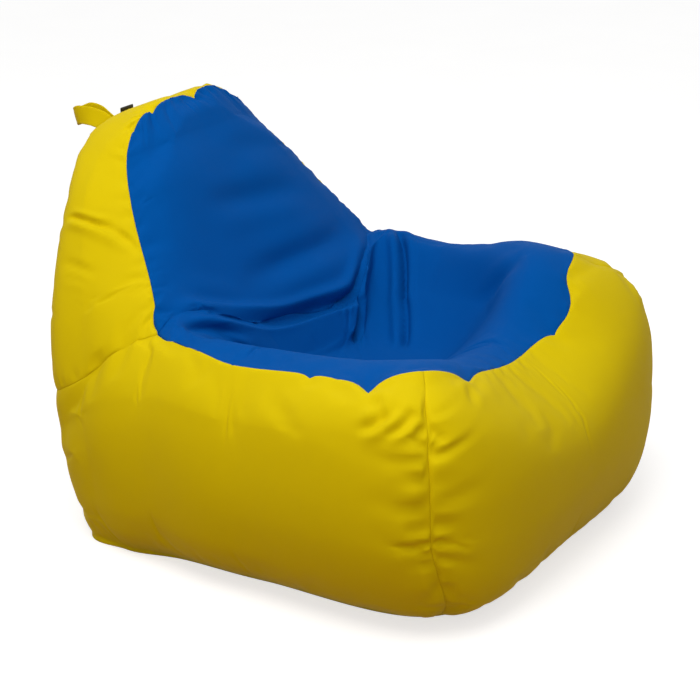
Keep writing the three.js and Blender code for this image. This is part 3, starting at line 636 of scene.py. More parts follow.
class Fold:
    """A valley pressed into the cloth along a smooth line, with the cloth raised beside it."""

    def __init__(self, grid, *places, between=0):
        knots = shape.points[[shape.place(grid, *place) for place in places]]
        if between:
            ticks = np.arange(len(places))
            spread = np.linspace(0, ticks[-1], ticks[-1] * between + 1)
            stations, rows = (np.interp(spread, ticks, at) for at in zip(*places))
            knots = shape.between(grid, stations, rows)
        length = np.linalg.norm(np.diff(knots, axis=0), axis=1).sum()
        spots_along = np.linspace(0, len(knots) - 1, int(length / 0.003) + 2)
        self.line = weights(spots_along, len(knots), False) @ knots
        steps = np.linalg.norm(np.diff(self.line, axis=0), axis=1)
        self.along = np.concatenate([[0], np.cumsum(steps)])

    def press(self, depth, width, lift=0.35, lean=0.0, tuck=0.0, taper=0.4):
        """Press the valley; lean raises one side more, and tuck slides that side over it."""
        reach = 4.2 * width
        low, high = self.line.min(0) - reach, self.line.max(0) + reach
        found = np.flatnonzero(((shape.points > low) & (shape.points < high)).all(1))
        gaps = shape.points[found][:, None] - self.line[None]
        nearest = (gaps ** 2).sum(2).argmin(1)
        gap = gaps[np.arange(len(found)), nearest]
        normal = outward[found]
        facing = (normal * outward_near(self.line)[nearest]).sum(1)
        side = np.cross(np.gradient(self.line, axis=0)[nearest], normal)
        side /= np.maximum(np.linalg.norm(side, axis=1, keepdims=True), 1e-9)
        across = (gap * side).sum(1)
        far = np.linalg.norm(gap, axis=1)
        across = np.where(far < reach, np.copysign(far, across), reach)
        along = self.along[nearest] / self.along[-1]
        strength = (1 - fade(along, 0, taper)) * fade(along, 1 - taper, 1) * fade(-facing, -0.3, 0.2)
        u = across / width
        valley = -depth * np.exp(-u * u)
        raised = (1 + lean) * np.exp(-((u - 1.9) / 1.1) ** 2) + (1 - lean) * np.exp(-((u + 1.9) / 1.1) ** 2)
        banks = lift * depth * raised
        shift = -tuck * np.exp(-((u - 1.1) / 0.9) ** 2)
        shape.points[found] += (((valley + banks) * strength)[:, None] * normal
                                + (shift * strength)[:, None] * side)


def outward_near(line):
    """The cloth's direction outwards at each point of a line."""
    low, high = line.min(0) - 0.02, line.max(0) + 0.02
    found = np.flatnonzero(((shape.points > low) & (shape.points < high)).all(1))
    nearest = ((line[:, None] - shape.points[found][None]) ** 2).sum(2).argmin(1)
    return outward[found[nearest]]


def gather(grid, start, stop, count, depth, reach, seed, station=None, row=None, side=0, width=0.007,
           lean=0.0):
    """Short puckers that leave a seam, on one side of it or on both, between two places along it."""
    along, off = seam_run(grid, station, row)
    if station is None:
        first, last = (along[shape.column(grid, k), 0] for k in (start, stop))
    else:
        first, last = (along[0, shape.row(grid, k)] for k in (start, stop))
    index = shape.index[grid]
    away = np.abs(off)
    here = np.ones_like(off) if side == 0 else (np.sign(off) == side)
    draws = np.random.default_rng(seed)
    pressed = np.zeros_like(off)
    for k in range(count):
        place = first + (last - first) * (k + draws.uniform(0.15, 0.85)) / count
        length, wide = reach * draws.uniform(0.45, 1.35), width * draws.uniform(0.7, 1.4)
        deep, slope = depth * draws.uniform(0.45, 1.25), lean + draws.normal(0, 0.22)
        bend = draws.normal(0, 4.0)
        u = (along - place - slope * off - bend * off * off) / (wide * (1 + 0.5 * away / length))
        peak = 0.42 * length
        rise = away / peak * np.exp(1 - away / peak)
        within = (np.abs(u) < 4) & (away < 4 * length)
        pressed += np.where(within, deep * rise * (1 - u * u) * np.exp(-u * u / 1.6), 0)
    ends = fade(away, 2.2 * reach, 3.6 * reach)
    shape.points[index] -= (pressed * here * ends * quiet[index])[..., None] * outward[index]


RIM = (("wall", 4), ("seat", 0))
RIDGE_SEAM = (("front", 4), ("rear", 4))
WAIST_SEAM = (("wall", 4), ("rear", 0))


def notch(seam, station, down, width, reach, inward=0.0, round_off=1.0):
    """Pull a seam down into the panel below it, in a V, or a rounded sag, about one station."""
    (lower, edge), _ = seam
    c = shape.column(lower, station)
    r = shape.row(lower, edge)
    index = shape.index[lower]
    pull = shape.points[index[c, r - 12]] - shape.points[index[c, r]]
    pull *= down / np.linalg.norm(pull)
    pull -= inward * outward[index[c, r]]
    pulled = np.zeros(len(shape.points))
    for grid, edge in seam:
        along, off = seam_run(grid, row=edge)
        beside = station - WAIST if lower == "wall" and grid == "rear" else station
        far = np.abs(along - along[shape.column(grid, beside), 0])
        share = np.exp(-(far / width) ** round_off) * np.exp(-(np.abs(off) / reach) ** 1.5)
        np.maximum.at(pulled, shape.index[grid], share)
    shape.points += pulled[:, None] * pull


outward = shape.soft_normals(12)

# The rim: caught up in notches over the arm corners and the front lip
notch(RIM, 10.56, 0.012, 0.070, 0.060)
notch(RIM, 10.42, 0.006, 0.010, 0.030, 0.003)
notch(RIM, 10.71, 0.038, 0.026, 0.050, 0.006)
notch(RIM, 11.34, 0.024, 0.028, 0.045, 0.006)
notch(RIM, 0.42, 0.020, 0.060, 0.060, 0.0, 2.0)
notch(RIM, 0.30, 0.010, 0.016, 0.030, 0.004)
notch(RIM, 9.32, 0.016, 0.055, 0.050, 0.0, 2.0)
notch(RIM, 0.75, -0.012, 0.045, 0.045, 0.0, 2.0)
notch(RIM, 1.15, 0.009, 0.040, 0.040, 0.0, 2.0)
notch(RIM, 1.65, 0.010, 0.030, 0.035, 0.002)
notch(WAIST_SEAM, 8.72, 0.013, 0.045, 0.050, 0.0, 2.0)
notch(RIM, 2.35, 0.009, 0.028, 0.035, 0.002)
# The ridge of the back: tongues of the gusset between lobes of the front panel
for station, down, width in ((2.50, 0.017, 0.016), (4.55, 0.018, 0.017), (5.32, 0.006, 0.020),
                             (1.05, 0.010, 0.020), (5.72, -0.009, 0.026)):
    notch(RIDGE_SEAM, station, down, width, 0.020, 0.003)

outward = shape.soft_normals(8)

# The crease where the back hangs over the seat, and the second fold beside the near arm
Fold("seat", (9.0, 0.45), (8.4, 0.30), (7.6, 0.16), (6.6, 0.08), (5.7, 0.05),
     (5.0, 0.18), (4.45, 0.40), (3.9, 0.60), (3.4, 0.50)
     ).press(0.020, 0.011, 0.30, -0.6, -0.006, 0.30)
Fold("seat", (9.25, 0.80), (8.8, 1.0), (8.2, 1.25), (7.5, 1.45)).press(0.015, 0.013, 0.35, 0.4)
# Pleats inside the arms
Fold("seat", (2.80, 0.6), (2.66, 1.15), (2.52, 1.64), (2.39, 2.15), (2.15, 2.6),
     (1.81, 3.1), between=6).press(0.022, 0.009, 0.4, 0.4, 0.005, 0.2)
Fold("seat", (4.85, 0.75), (4.62, 1.2), (4.25, 1.9), (4.05, 2.45), (4.10, 3.0),
     between=6).press(0.016, 0.009, 0.4, -0.3, 0.0, 0.2)
Fold("seat", (9.3, 1.0), (9.45, 1.5), (9.6, 2.0), (9.8, 2.5)).press(0.011, 0.012, 0.4, 0.5)
Fold("seat", (8.4, 1.2), (8.3, 1.6), (8.1, 2.1)).press(0.009, 0.011, 0.4)
Fold("seat", (0.85, 0.9), (1.0, 1.5), (1.3, 2.1)).press(0.006, 0.018, 0.4)
Fold("seat", (11.2, 0.9), (11.0, 1.5), (10.8, 2.1)).press(0.006, 0.018, 0.4)
# Soft dents that run across the back
Fold("front", (4.43, 1.72), (2.72, 1.68), (0.9, 1.45)).press(0.006, 0.022, 0.5, 0.2)
Fold("front", (4.0, 0.99), (2.74, 1.05), (1.43, 0.92), (0.6, 0.9)).press(0.009, 0.024, 0.5, 0.3)
Fold("front", (3.0, 2.3), (1.8, 2.2), (0.6, 2.0)).press(0.004, 0.024, 0.5)
Fold("front", (5.4, 0.6), (4.6, 0.45), (3.8, 0.42)).press(0.005, 0.018, 0.5)
# Wrinkles round the waist of the gusset, the same on both sides but not alike
Fold("rear", (4.5, 1.95), (4.85, 1.91), (5.25, 1.84), (5.63, 1.68), (5.9, 1.51)
     ).press(0.008, 0.0065, 0.5, 0.5, 0.003, 0.2)
Fold("rear", (5.1, 1.87), (5.4, 1.78), (5.7, 1.64), (5.97, 1.46)).press(0.007, 0.006, 0.6, 0.4, 0.002, 0.2)
Fold("rear", (4.45, 1.52), (4.77, 1.45), (5.12, 1.36), (5.4, 1.26)).press(0.0045, 0.008, 0.5, 0.3)
Fold("rear", (4.5, 1.42), (4.9, 1.33), (5.25, 1.22)).press(0.003, 0.007, 0.5)
Fold("rear", (1.5, 1.9), (1.1, 1.82), (0.7, 1.75), (0.2, 1.5)).press(0.010, 0.008, 0.5, -0.5)
Fold("rear", (1.4, 1.3), (1.0, 1.2), (0.6, 1.2)).press(0.006, 0.009, 0.5)
Fold("rear", (2.4, 1.9), (3.0, 1.8), (3.6, 1.95)).press(0.006, 0.016, 0.5)
Fold("rear", (2.2, 1.0), (2.8, 0.85), (3.3, 1.0)).press(0.006, 0.018, 0.5)
Fold("rear", (3.9, 2.6), (3.4, 2.4), (2.9, 2.45)).press(0.005, 0.014, 0.5)
# Dimples below the near corner's notch, and the long drag beside the corner seam
Fold("wall", (10.70, 3.72), (10.74, 3.45), (10.77, 3.15)).press(0.007, 0.009, 0.5)
Fold("wall", (10.66, 3.00), (10.75, 3.16), (10.86, 3.40)).press(0.008, 0.009, 0.55, 0.3)
Fold("wall", (10.78, 2.98), (10.86, 3.12), (10.95, 3.38)).press(0.007, 0.008, 0.55)
Fold("wall", (11.32, 3.85), (11.30, 3.6), (11.27, 3.35)).press(0.004, 0.009, 0.5)

outward = shape.soft_normals(8)
quiet = 1 - np.exp(-(seam_distance() / 0.004) ** 2)
gather("wall", 1.2, 3.4, 15, 0.0046, 0.042, 11, station=11, width=0.0095)
gather("wall", 1.3, 3.5, 15, 0.0042, 0.036, 12, station=1, width=0.0095)
gather("wall", 0.6, 3.7, 12, 0.0026, 0.026, 13, station=5)
gather("wall", 0.6, 3.4, 10, 0.0016, 0.024, 14, station=7)
gather("wall", 11.35, 11.98, 8, 0.0022, 0.030, 15, row=4, width=0.011, lean=0.6)
gather("wall", 0.02, 1.9, 17, 0.0016, 0.028, 16, row=4, width=0.011, lean=-0.3)
gather("wall", 1.9, 4.9, 22, 0.0020, 0.026, 17, row=4)
gather("wall", 7.1, 10.9, 20, 0.0007, 0.020, 18, row=4, width=0.010)
gather("wall", 5.1, 6.9, 14, 0.0024, 0.028, 19, row=4)
gather("wall", 0.05, 11.9, 80, 0.0014, 0.022, 20, row=0, width=0.010)
gather("seat", 0.1, 2.9, 20, 0.0018, 0.026, 21, row=0, width=0.010)
gather("seat", 9.1, 11.9, 18, 0.0012, 0.024, 22, row=0, width=0.010)
gather("front", 0.1, 3.4, 16, 0.0016, 0.022, 23, station=0)
gather("front", 0.1, 3.4, 14, 0.0012, 0.020, 24, station=6)
gather("rear", 0.1, 3.4, 16, 0.0020, 0.022, 25, station=0)
gather("rear", 0.1, 3.4, 14, 0.0016, 0.020, 26, station=6)
gather("front", 0.45, 5.5, 18, 0.0030, 0.024, 27, row=4)
gather("rear", 0.45, 5.5, 20, 0.0034, 0.020, 28, row=4)
gather("rear", 0.2, 2.9, 14, 0.0030, 0.026, 29, station=2)
gather("rear", 0.2, 2.9, 14, 0.0030, 0.026, 30, station=4)
gather("rear", 2.1, 3.9, 12, 0.0026, 0.024, 31, row=3)
gather("rear", 0.1, 1.9, 9, 0.0026, 0.026, 32, row=0)
gather("rear", 4.1, 5.9, 9, 0.0022, 0.026, 33, row=0)
gather("rear", 2.1, 3.9, 10, 0.0030, 0.028, 34, row=0)


def draw_seams():
    """Sink every seam in a narrow groove, and let the cloth pillow up beside it."""
    far = seam_distance()
    sunk = GROOVE * np.exp(-(far / GROOVE_WIDTH) ** 2) + PILLOW * np.exp(-far / PILLOW_WIDTH)
    sunk *= 1 - fade(shape.points[:, 2], 0.0, 0.01)
    shape.points -= sunk[:, None] * shape.soft_normals()


def cover_search():
    """The cover as a search tree of its faces."""
    return BVHTree.FromPolygons(shape.points.tolist(), polygons(shape.all_quads))


def depth_below(tree, point):
    """How far a point lies inside the cover, and the cover's direction outwards there."""
    spot, normal, _, _ = tree.find_nearest(point)
    return (spot - Vector(point)).dot(normal), normal


def loosen(pinch, rounds, times):
    """Let the cloth out wherever it is folded tighter than the cloth is thick."""
    off_seam = seam_distance()
    for _ in range(rounds):
        tree = cover_search()
        probes = shape.points - shape.soft_normals(8) * pinch
        tight = np.array([depth_below(tree, probe)[0] < TIGHT * pinch for probe in probes])
        share = tight.astype(float)
        for _ in range(3):
            np.maximum.at(share, shape.edges[:, 0], SPREAD * share[shape.edges[:, 1]])
            np.maximum.at(share, shape.edges[:, 1], SPREAD * share[shape.edges[:, 0]])
        stiff = LOOSE - SEAM_STIFF * np.exp(-(off_seam / STIFF_WIDTH) ** 2)
        share *= stiff * (LOOSE_LEAST + (1 - LOOSE_LEAST) * fade(off_seam, *LOOSE_REACH))
        for _ in range(times):
            shape.points += share[:, None] * (shape.average(shape.points) - shape.points)


def flatten_zip():
    """Bring the cloth onto the plane of the zip tapes round the window of the zip."""
    out, share = near_zip(shape.points, *FLAT_ZIP)
    shape.points -= (out * share)[:, None] * zip_out


draw_seams()
loosen(PINCH, *LOOSE_ROUNDS)
flatten_zip()
shape.points[:, 2] = np.maximum(shape.points[:, 2], 0.0)

# ---- Bead fill ----------------------------------------------------------------------------
# Loose expanded polystyrene beads of 3 to 6 mm, which take the shape of the liner round them.
# They carry the cover: nothing else inside the chair is stiff.

BEAD_INSET, LINER_INSET, BEADS_BEHIND = 0.0135, 0.0100, 0.001
WELL_DEEP, WELL_ENDS = 0.0165, ((0.190, 0.220), (0.034, 0.064), (0.05, 0.08))
LAYER_STEPS, LAYER_LEAST = (0.005, 0.005, 0.004, 0.004, 0.003, 0.003, 0.002, 0.0015, 0.001, 0.0006), 0.85
LAYER_ROUNDS, LAYER_SPARE = 4, 0.65
cover_tree = cover_search()


def layer_mesh(name, inset, deeper):
    """A closed surface at a depth below the cover, from every second row and column."""
    points = shape.points - shape.soft_normals() * inset
    quads = []
    for grid, index in shape.index.items():
        some = index[::2, ::2]
        if grid in ("wall", "seat", "base"):
            some = np.concatenate([some, some[:1]])
        corners = np.stack([some[:-1, :-1], some[1:, :-1], some[1:, 1:], some[:-1, 1:]], -1)
        quads.append(corners.reshape(-1, 4)[:, ::-1 if grid in ("front", "base") else 1])
    used, local = np.unique(np.concatenate(quads), return_inverse=True)
    points = points[used]
    shallow = range(len(points))
    for step in LAYER_STEPS:
        still = []
        for k in shallow:
            depth, normal = depth_below(cover_tree, points[k])
            if depth < inset * LAYER_LEAST:
                points[k] -= np.array(normal) * min(step, inset - depth)
                still.append(k)
        shallow = still
    quads = local.reshape(-1, 4)
    for _ in range(LAYER_ROUNDS):
        middles = points[quads].mean(1)
        push = np.zeros_like(points)
        for quad, middle in zip(quads, middles):
            depth, normal = depth_below(cover_tree, middle)
            short = inset * LAYER_SPARE - depth
            if short > 0:
                push[quad] = -np.array(normal) * short
        points += push
        for k, point in enumerate(points):
            depth, normal = depth_below(cover_tree, point)
            short = inset * LAYER_SPARE - depth
            if short > 0:
                points[k] -= np.array(normal) * short
    out, share = near_zip(points, *WELL_ENDS)
    points -= (np.maximum(out + WELL_DEEP + deeper, 0) * share)[:, None] * zip_out
    points[:, 2] = np.maximum(points[:, 2], inset)
    mesh = bpy.data.meshes.new(name)
    mesh.from_pydata(points.tolist(), [], polygons(quads))
    mesh.shade_smooth()
    return mesh


def add_piece(name, mesh, material, slot, *nodes, body="chair"):
    """Link a piece of the chair, stand it for its CAD nodes and ride it on a body."""
    piece = bpy.data.objects.new(name, mesh)
    piece.data.materials.clear()
    piece.data.materials.append(material)
    scene.collection.objects.link(piece)
    if nodes:
        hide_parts(*nodes)
    if body:
        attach(piece, body)
    return piece


def pattern(look, kind, scale, **more):
    """A texture that stands still on its piece, at a scale per metre."""
    place = look.add("ShaderNodeTexCoord")["Object"]
    return look.add("ShaderNodeTex" + kind, {"Vector": place, "Scale": scale, **more})


def finish(look, share, low, high, roughness, bump=None, others=None):
    """End a material, from a share between two colours, a roughness and a bump."""
    colour = look.add("ShaderNodeMix", {"Factor": share, "A": (*low, 1), "B": (*high, 1)}, out=2,
                      data_type="RGBA")
    values = {"Base Color": colour, "Roughness": roughness, **(others or {})}
    if bump:
        strength, distance, height = bump
        values["Normal"] = look.add("ShaderNodeBump", {"Strength": strength, "Distance": distance,
                                                       "Height": height})
    look.add("ShaderNodeOutputMaterial", {"Surface": look.add("ShaderNodeBsdfPrincipled", values)})


bead_foam, look = new_material("bead_foam")
# Each bead is painted in its own white at its middle and greys towards its edge, a painted shade in the gaps
# between the beads. The same cells also give the bump and the roughness.
cells = pattern(look, "Voronoi", 210.0)["Distance"]
finish(look, cells, (0.80, 0.80, 0.79), (0.62, 0.62, 0.61), cells * 0.2 + 0.6, (0.8, 0.002, 1 - cells))
beads = add_piece("beads", layer_mesh("beads", BEAD_INSET, BEADS_BEHIND), bead_foam, "polystyrene_beads",
                  "bead_fill")

# ---- Liner bag ----------------------------------------------------------------------------
# The inner bag that keeps the beads in when the cover comes off: a thin white woven lining
# with its own nylon zip behind the cover's, in a shallow well.

LINER_SHEET, LINER_FLAT = 0.0004, (2.60, 1.30)

liner_cloth, look = new_material("liner_cloth")
fibre = pattern(look, "Noise", 260.0, Detail=4.0, Distortion=1.5)
weld = pattern(look, "Voronoi", 420.0)["Distance"]
finish(look, fibre, (0.74, 0.74, 0.73), (0.84, 0.84, 0.84), fibre * 0.2 + 0.6, (0.5, 0.0003, fibre + weld))

liner = add_piece("liner", layer_mesh("liner", LINER_INSET, 0.0), liner_cloth, "white_liner", "liner_bag")
shell = liner.modifiers.new("Sheet", "SOLIDIFY")
shell.thickness, shell.offset = LINER_SHEET, -1

white_nylon, look = new_material("white_nylon")
scuff = pattern(look, "Noise", 160.0, Detail=3.0)
finish(look, scuff, (0.72, 0.72, 0.70), (0.83, 0.83, 0.82), scuff * 0.2 + 0.3, (0.3, 0.0002, scuff))


def refinish(material, *nodes):
    """Give CAD nodes that are kept as they are their finished material."""
    for node in nodes:
        for held in bpy.data.objects[node].material_slots:
            held.material = material


refinish(liner_cloth, "liner_zip_well")
refinish(white_nylon, "liner_zip_coil", "liner_zip_slider")

# ---- Cover cloth --------------------------------------------------------------------------
# Plain-woven polyester, dyed in the piece. Each panel keeps its weave along its own cut, so
# the threads run in a map of metres over the cloth.

THREAD, CLOTH_THICK = 0.0011, 0.0012


def cloth_material(name, dye, deep, tint, gloss):
    """Plain weave in one dye, with slubs, slow clouds of tone and a faint coloured sheen."""
    material, look = new_material(name)
    thread = look.add("ShaderNodeSeparateXYZ", {0: look.add("ShaderNodeUVMap", uv_map="cloth")})
    weave = thread["X"].wave(THREAD) * thread["Y"].wave(THREAD)
    slub = pattern(look, "Noise", 38.0, Detail=3.0)
    cloud = pattern(look, "Noise", 4.0, Detail=2.0)
    tone = (weave * 0.10 + slub * 0.22 + cloud * 0.75).math("MINIMUM", 1.0)
    finish(look, tone, deep, dye, slub * 0.10 + 0.66, (0.25, 0.0004, weave + slub * 0.5), {
        "Specular IOR Level": gloss, "Specular Tint": (*tint, 1), "Sheen Weight": 0.04,
        "Sheen Roughness": 0.4, "Sheen Tint": (*tint, 1)})
    return material


yellow_cloth = cloth_material("yellow_polyester", (0.66, 0.51, 0.001), (0.57, 0.43, 0.001),
                              (1.0, 0.85, 0.10), 0.28)
blue_cloth = cloth_material("blue_polyester", (0.0005, 0.078, 0.34), (0.0004, 0.060, 0.265),
                            (0.02, 0.40, 1.0), 0.12)


def panel_of(name, columns, rows):
    """The sewn panel that each face of a grid belongs to."""
    if name == "wall":
        round_place = columns[:, None] + 0 * rows[None, :]
        return np.select([(round_place < 1) | (round_place >= 11), round_place < 5, round_place < 7],
                         ["front_panel", "side_panel_left", "rear_base_panel"], "side_panel_right")
    if name == "rear":
        side = (columns < 2) | (columns >= 4)
        return np.where(side[:, None] | (rows >= 3)[None, :], "back_gusset", "back_rear_panel")
    whole = {"seat": "seat_panel", "front": "back_front_panel", "base": "base_panel"}[name]
    return np.full((len(columns), len(rows)), whole)


def cloth_maps():
    """Metres along and across the cloth for each point of each grid."""
    maps = {}
    for name, index in shape.index.items():
        points = shape.points[index]
        down = np.linalg.norm(np.diff(points, axis=1), axis=2)
        v = np.concatenate([np.zeros((len(index), 1)), np.cumsum(down, 1)], 1)
        middle = points[:, points.shape[1] // 2]
        around = np.concatenate([[0], np.cumsum(np.linalg.norm(np.diff(middle, axis=0), axis=1))])
        u = around[:, None] + 0 * v
        if name in ("seat", "base"):
            turn = np.arctan2(points[:, 1, 1] - points[0, -1, 1], points[:, 1, 0] - points[0, -1, 0])
            reach = v[:, -1:] - v
            u, v = reach * np.cos(turn)[:, None], reach * np.sin(turn)[:, None]
        maps[name] = np.stack([u, v], -1)
    return maps


LIP_TRIES, LIP_SUNK, DRAWN_BACK = (0.0042, 0.0028, 0.0016, 0.0008), 0.45, 0.00007
LIP_AT_ZIP = (0.17, 0.015)
maps = cloth_maps()
outward = shape.soft_normals(10)


def panel_faces(name):
    """The faces of one panel, as point numbers, and their places on the cloth."""
    faces, places = [], []
    for grid, corners in shape.faces.items():
        columns = shape.columns["ring" if grid in ("wall", "seat", "base") else "arch"][:corners.shape[0]]
        rows = shape.rows.get(grid, np.arange(7.0))[:corners.shape[1]]
        cell = np.argwhere(panel_of(grid, columns, rows) == name)
        if not len(cell):
            continue
        c, r = cell.T
        far = (c + 1) % len(shape.index[grid])
        order = [(c, r), (far, r), (far, r + 1), (c, r + 1)][::-1 if grid in ("front", "base") else 1]
        place = np.stack([maps[grid][i, j] for i, j in order], 1)
        if name == "front_panel":
            girth = maps[grid][:, 0, 0].max()
            place[..., 0] -= np.where(place[..., 0] > girth / 2, girth, 0)
        faces.append(corners[c, r])
        places.append(place)
    return np.concatenate(faces), np.concatenate(places)


def make_panel(name, material, slot, window=None):
    """Cut one panel, turn its edges in, give it its thickness and lay it over the liner."""
    faces, places = panel_faces(name)
    used, local = np.unique(faces, return_inverse=True)
    bm = bmesh.new()
    up = bm.verts.layers.float_vector.new("up")
    layer = bm.loops.layers.uv.new("cloth")
    verts = [bm.verts.new(p) for p in shape.points[used]]
    for vert, normal in zip(verts, outward[used].tolist()):
        vert[up] = Vector(normal)
    for quad, uv in zip(local.reshape(faces.shape).tolist(), places.tolist()):
        kept = [(v, w) for k, (v, w) in enumerate(zip(quad, uv)) if v != quad[k - 1]]
        if len(kept) < 3:
            continue
        face = bm.faces.new([verts[v] for v, _ in kept])
        for loop, (_, w) in zip(face.loops, kept):
            loop[layer].uv = w
    if window:
        window(bm)
    border = [edge for edge in bm.edges if edge.is_boundary]
    rim = {vert for edge in border for vert in edge.verts}
    for vert in rim:
        inner = [edge.other_vert(vert).co for edge in vert.link_edges if not edge.is_boundary]
        if inner:
            middle = sum(inner, Vector()) / len(inner) - vert.co
            if middle.length > 1e-6:
                vert.co += middle.normalized() * DRAWN_BACK
    grown = bmesh.ops.extrude_edge_only(bm, edges=border)["geom"]
    for vert in (g for g in grown if isinstance(g, bmesh.types.BMVert)):
        start, inward = vert.co.copy(), -vert[up].normalized()
        off_zip = abs((start - ZIP_CENTRE).dot(Vector(zip_up)))
        at_window = window and off_zip < LIP_AT_ZIP[1] and abs(start.x) < LIP_AT_ZIP[0]
        if at_window:
            inward = -Vector(zip_out)
        for depth in LIP_TRIES[-1:] if at_window else LIP_TRIES:
            vert.co = start + inward * min(depth, max(start.z * 0.8, LIP_TRIES[-1]))
            if depth_below(cover_tree, vert.co)[0] > depth * LIP_SUNK:
                break
    for face in bm.faces:
        face.smooth = True
    mesh = bpy.data.meshes.new(name)
    bm.to_mesh(mesh)
    bm.free()
    mesh.attributes.remove(mesh.attributes["up"])
    piece = add_piece(name + "_cloth", mesh, material, slot, name)
    thick = piece.modifiers.new("Cloth", "SOLIDIFY")
    thick.thickness, thick.offset = CLOTH_THICK, -1
    return piece


# ---- Blue panels --------------------------------------------------------------------------
# The two panels that the sitter leans on: the front of the back, and the seat with the inside
# of both arms, sewn together along the deep crease.

make_panel("back_front_panel", blue_cloth, "blue_fabric")
make_panel("seat_panel", blue_cloth, "blue_fabric")

# ---- Yellow panels ------------------------------------------------------------------------
# The outside of the cover: a gusset over the back, its rear panel, two sides, the front, the
# base, and the low rear panel that the zip is let into.

ZIP_REACH, ZIP_GAP = 0.165, 0.009
WINDOW_BESIDE, WINDOW_DEEP = 0.012, 0.02


def zip_window(bm):
    """Cut the zip's window out of the low rear panel, square to the zip."""
    centre, up, out = Vector(ZIP_CENTRE), Vector(zip_up), Vector(zip_out)
    across = Vector((1, 0, 0))
    for point, normal in ((centre + up * ZIP_GAP, up), (centre - up * ZIP_GAP, up),
                          (centre + across * ZIP_REACH, across), (centre - across * ZIP_REACH, across)):
        near = []
        for face in bm.faces:
            offset = face.calc_center_median() - centre
            beside = abs(offset.x) < ZIP_REACH + WINDOW_BESIDE
            level = abs(offset.dot(up)) < ZIP_GAP + WINDOW_BESIDE
            if beside and level and abs(offset.dot(out)) < WINDOW_DEEP:
                near.append(face)
        parts = near + list({e for f in near for e in f.edges}) + list({v for f in near for v in f.verts})
        bmesh.ops.bisect_plane(bm, geom=parts, plane_co=point, plane_no=normal, dist=1e-5)
    edge_verts = []
    for vert in bm.verts:
        offset = vert.co - centre
        past = max(abs(offset.x) - ZIP_REACH, abs(offset.dot(up)) - ZIP_GAP)
        if abs(past) < 0.0016 and abs(offset.dot(out)) < WINDOW_DEEP:
            edge_verts.append(vert)
    bmesh.ops.remove_doubles(bm, verts=edge_verts, dist=0.0009)
    inside = []
    for face in bm.faces:
        offset = face.calc_center_median() - centre
        if abs(offset.x) < ZIP_REACH and abs(offset.dot(up)) < ZIP_GAP and abs(offset.dot(out)) < WINDOW_DEEP:
            inside.append(face)
    bmesh.ops.delete(bm, geom=inside, context="FACES")


for name, flat, area in (
        ("back_gusset", (1.75, 0.24), 0.29), ("back_rear_panel", (0.60, 0.56), 0.30),
        ("side_panel_left", (0.92, 0.60), 0.44), ("side_panel_right", (0.92, 0.60), 0.43),
        ("front_panel", (0.92, 0.64), 0.45), ("base_panel", (0.80, 0.83), 0.58)):
    make_panel(name, yellow_cloth, "yellow_fabric")
make_panel("rear_base_panel", yellow_cloth, "yellow_fabric", zip_window)

# ---- Cover zip ----------------------------------------------------------------------------
# A yellow nylon coil zip low on the back, sewn in behind a window in the panel. Its slider and
# pull are nickel-plated zinc, its end stops are crimped, and two rows of stitches hold it.

COIL_PITCH, COIL_WIRE, COIL_WIDE, COIL_TALL = 0.0021, 0.00038, 0.0046, 0.0019
STITCH_PITCH, STITCH_LONG, STITCH_THREAD = 0.0036, 0.0026, 0.0003
STITCH_OUT, STITCH_ROWS = 0.0003, (0.0040, 0.0075)
COIL_LEAN, COIL_SPREAD, COIL_END, TAPE_RIB = 78, 0.16, 0.0015, 0.0012

zip_weave, look = new_material("zip_tape_weave")
axis = look.add("ShaderNodeSeparateXYZ", {0: look.add("ShaderNodeTexCoord")["Object"]})
rib = (axis["X"] + axis["Z"]).wave(TAPE_RIB) * (axis["X"] - axis["Z"]).wave(TAPE_RIB)
fluff = pattern(look, "Noise", 120.0, Detail=3.0)
finish(look, rib * 0.5 + fluff * 0.5, (0.42, 0.29, 0.004), (0.60, 0.44, 0.008), fluff * 0.2 + 0.6,
       (0.5, 0.0003, rib))
refinish(zip_weave, "cover_zip_tape_upper", "cover_zip_tape_lower")

nickel, look = new_material("plated_zinc")
grain = pattern(look, "Noise", 700.0, Detail=4.0)
dull = pattern(look, "Noise", 90.0, Detail=2.0)
finish(look, dull, (0.44, 0.43, 0.41), (0.62, 0.61, 0.58), dull * 0.25 + 0.22, (0.15, 0.0001, grain),
       {"Metallic": 1.0})
refinish(nickel, "cover_zip_slider", "cover_zip_pull", "cover_zip_stop_left", "cover_zip_stop_right")

yellow_nylon, look = new_material("yellow_nylon")
scuff = pattern(look, "Noise", 300.0, Detail=2.0)
finish(look, scuff, (0.44, 0.31, 0.006), (0.58, 0.42, 0.012), scuff * 0.2 + 0.3)


def node_group(name, **sizes):
    """An empty geometry tree with named inputs, and its expression helper."""
    tree = bpy.data.node_groups.new(name, "GeometryNodeTree")
    tree.interface.new_socket("Geometry", in_out="INPUT", socket_type="NodeSocketGeometry")
    for size in sizes:
        tree.interface.new_socket(size, in_out="INPUT", socket_type="NodeSocketFloat")
    tree.interface.new_socket("Finish", in_out="INPUT", socket_type="NodeSocketMaterial")
    tree.interface.new_socket("Geometry", in_out="OUTPUT", socket_type="NodeSocketGeometry")
    nodes = Nodes(tree)
    return tree, nodes, nodes.add("NodeGroupInput")


def grow(name, mesh, tree, material, place, **sizes):
    """Run a geometry tree on a mesh and keep the result as a plain mesh."""
    seed = bpy.data.objects.new(name, mesh)
    scene.collection.objects.link(seed)
    modifier = seed.modifiers.new("Pattern", "NODES")
    modifier.node_group = tree
    sockets = {item.name: item.identifier for item in tree.interface.items_tree if item.in_out == "INPUT"}
    modifier[sockets["Finish"]] = material
    for size, value in sizes.items():
        modifier[sockets[size]] = value
    grown = bpy.data.meshes.new_from_object(seed.evaluated_get(bpy.context.evaluated_depsgraph_get()))
    bpy.data.objects.remove(seed)
    grown.transform(place)
    grown.name = name
    return grown


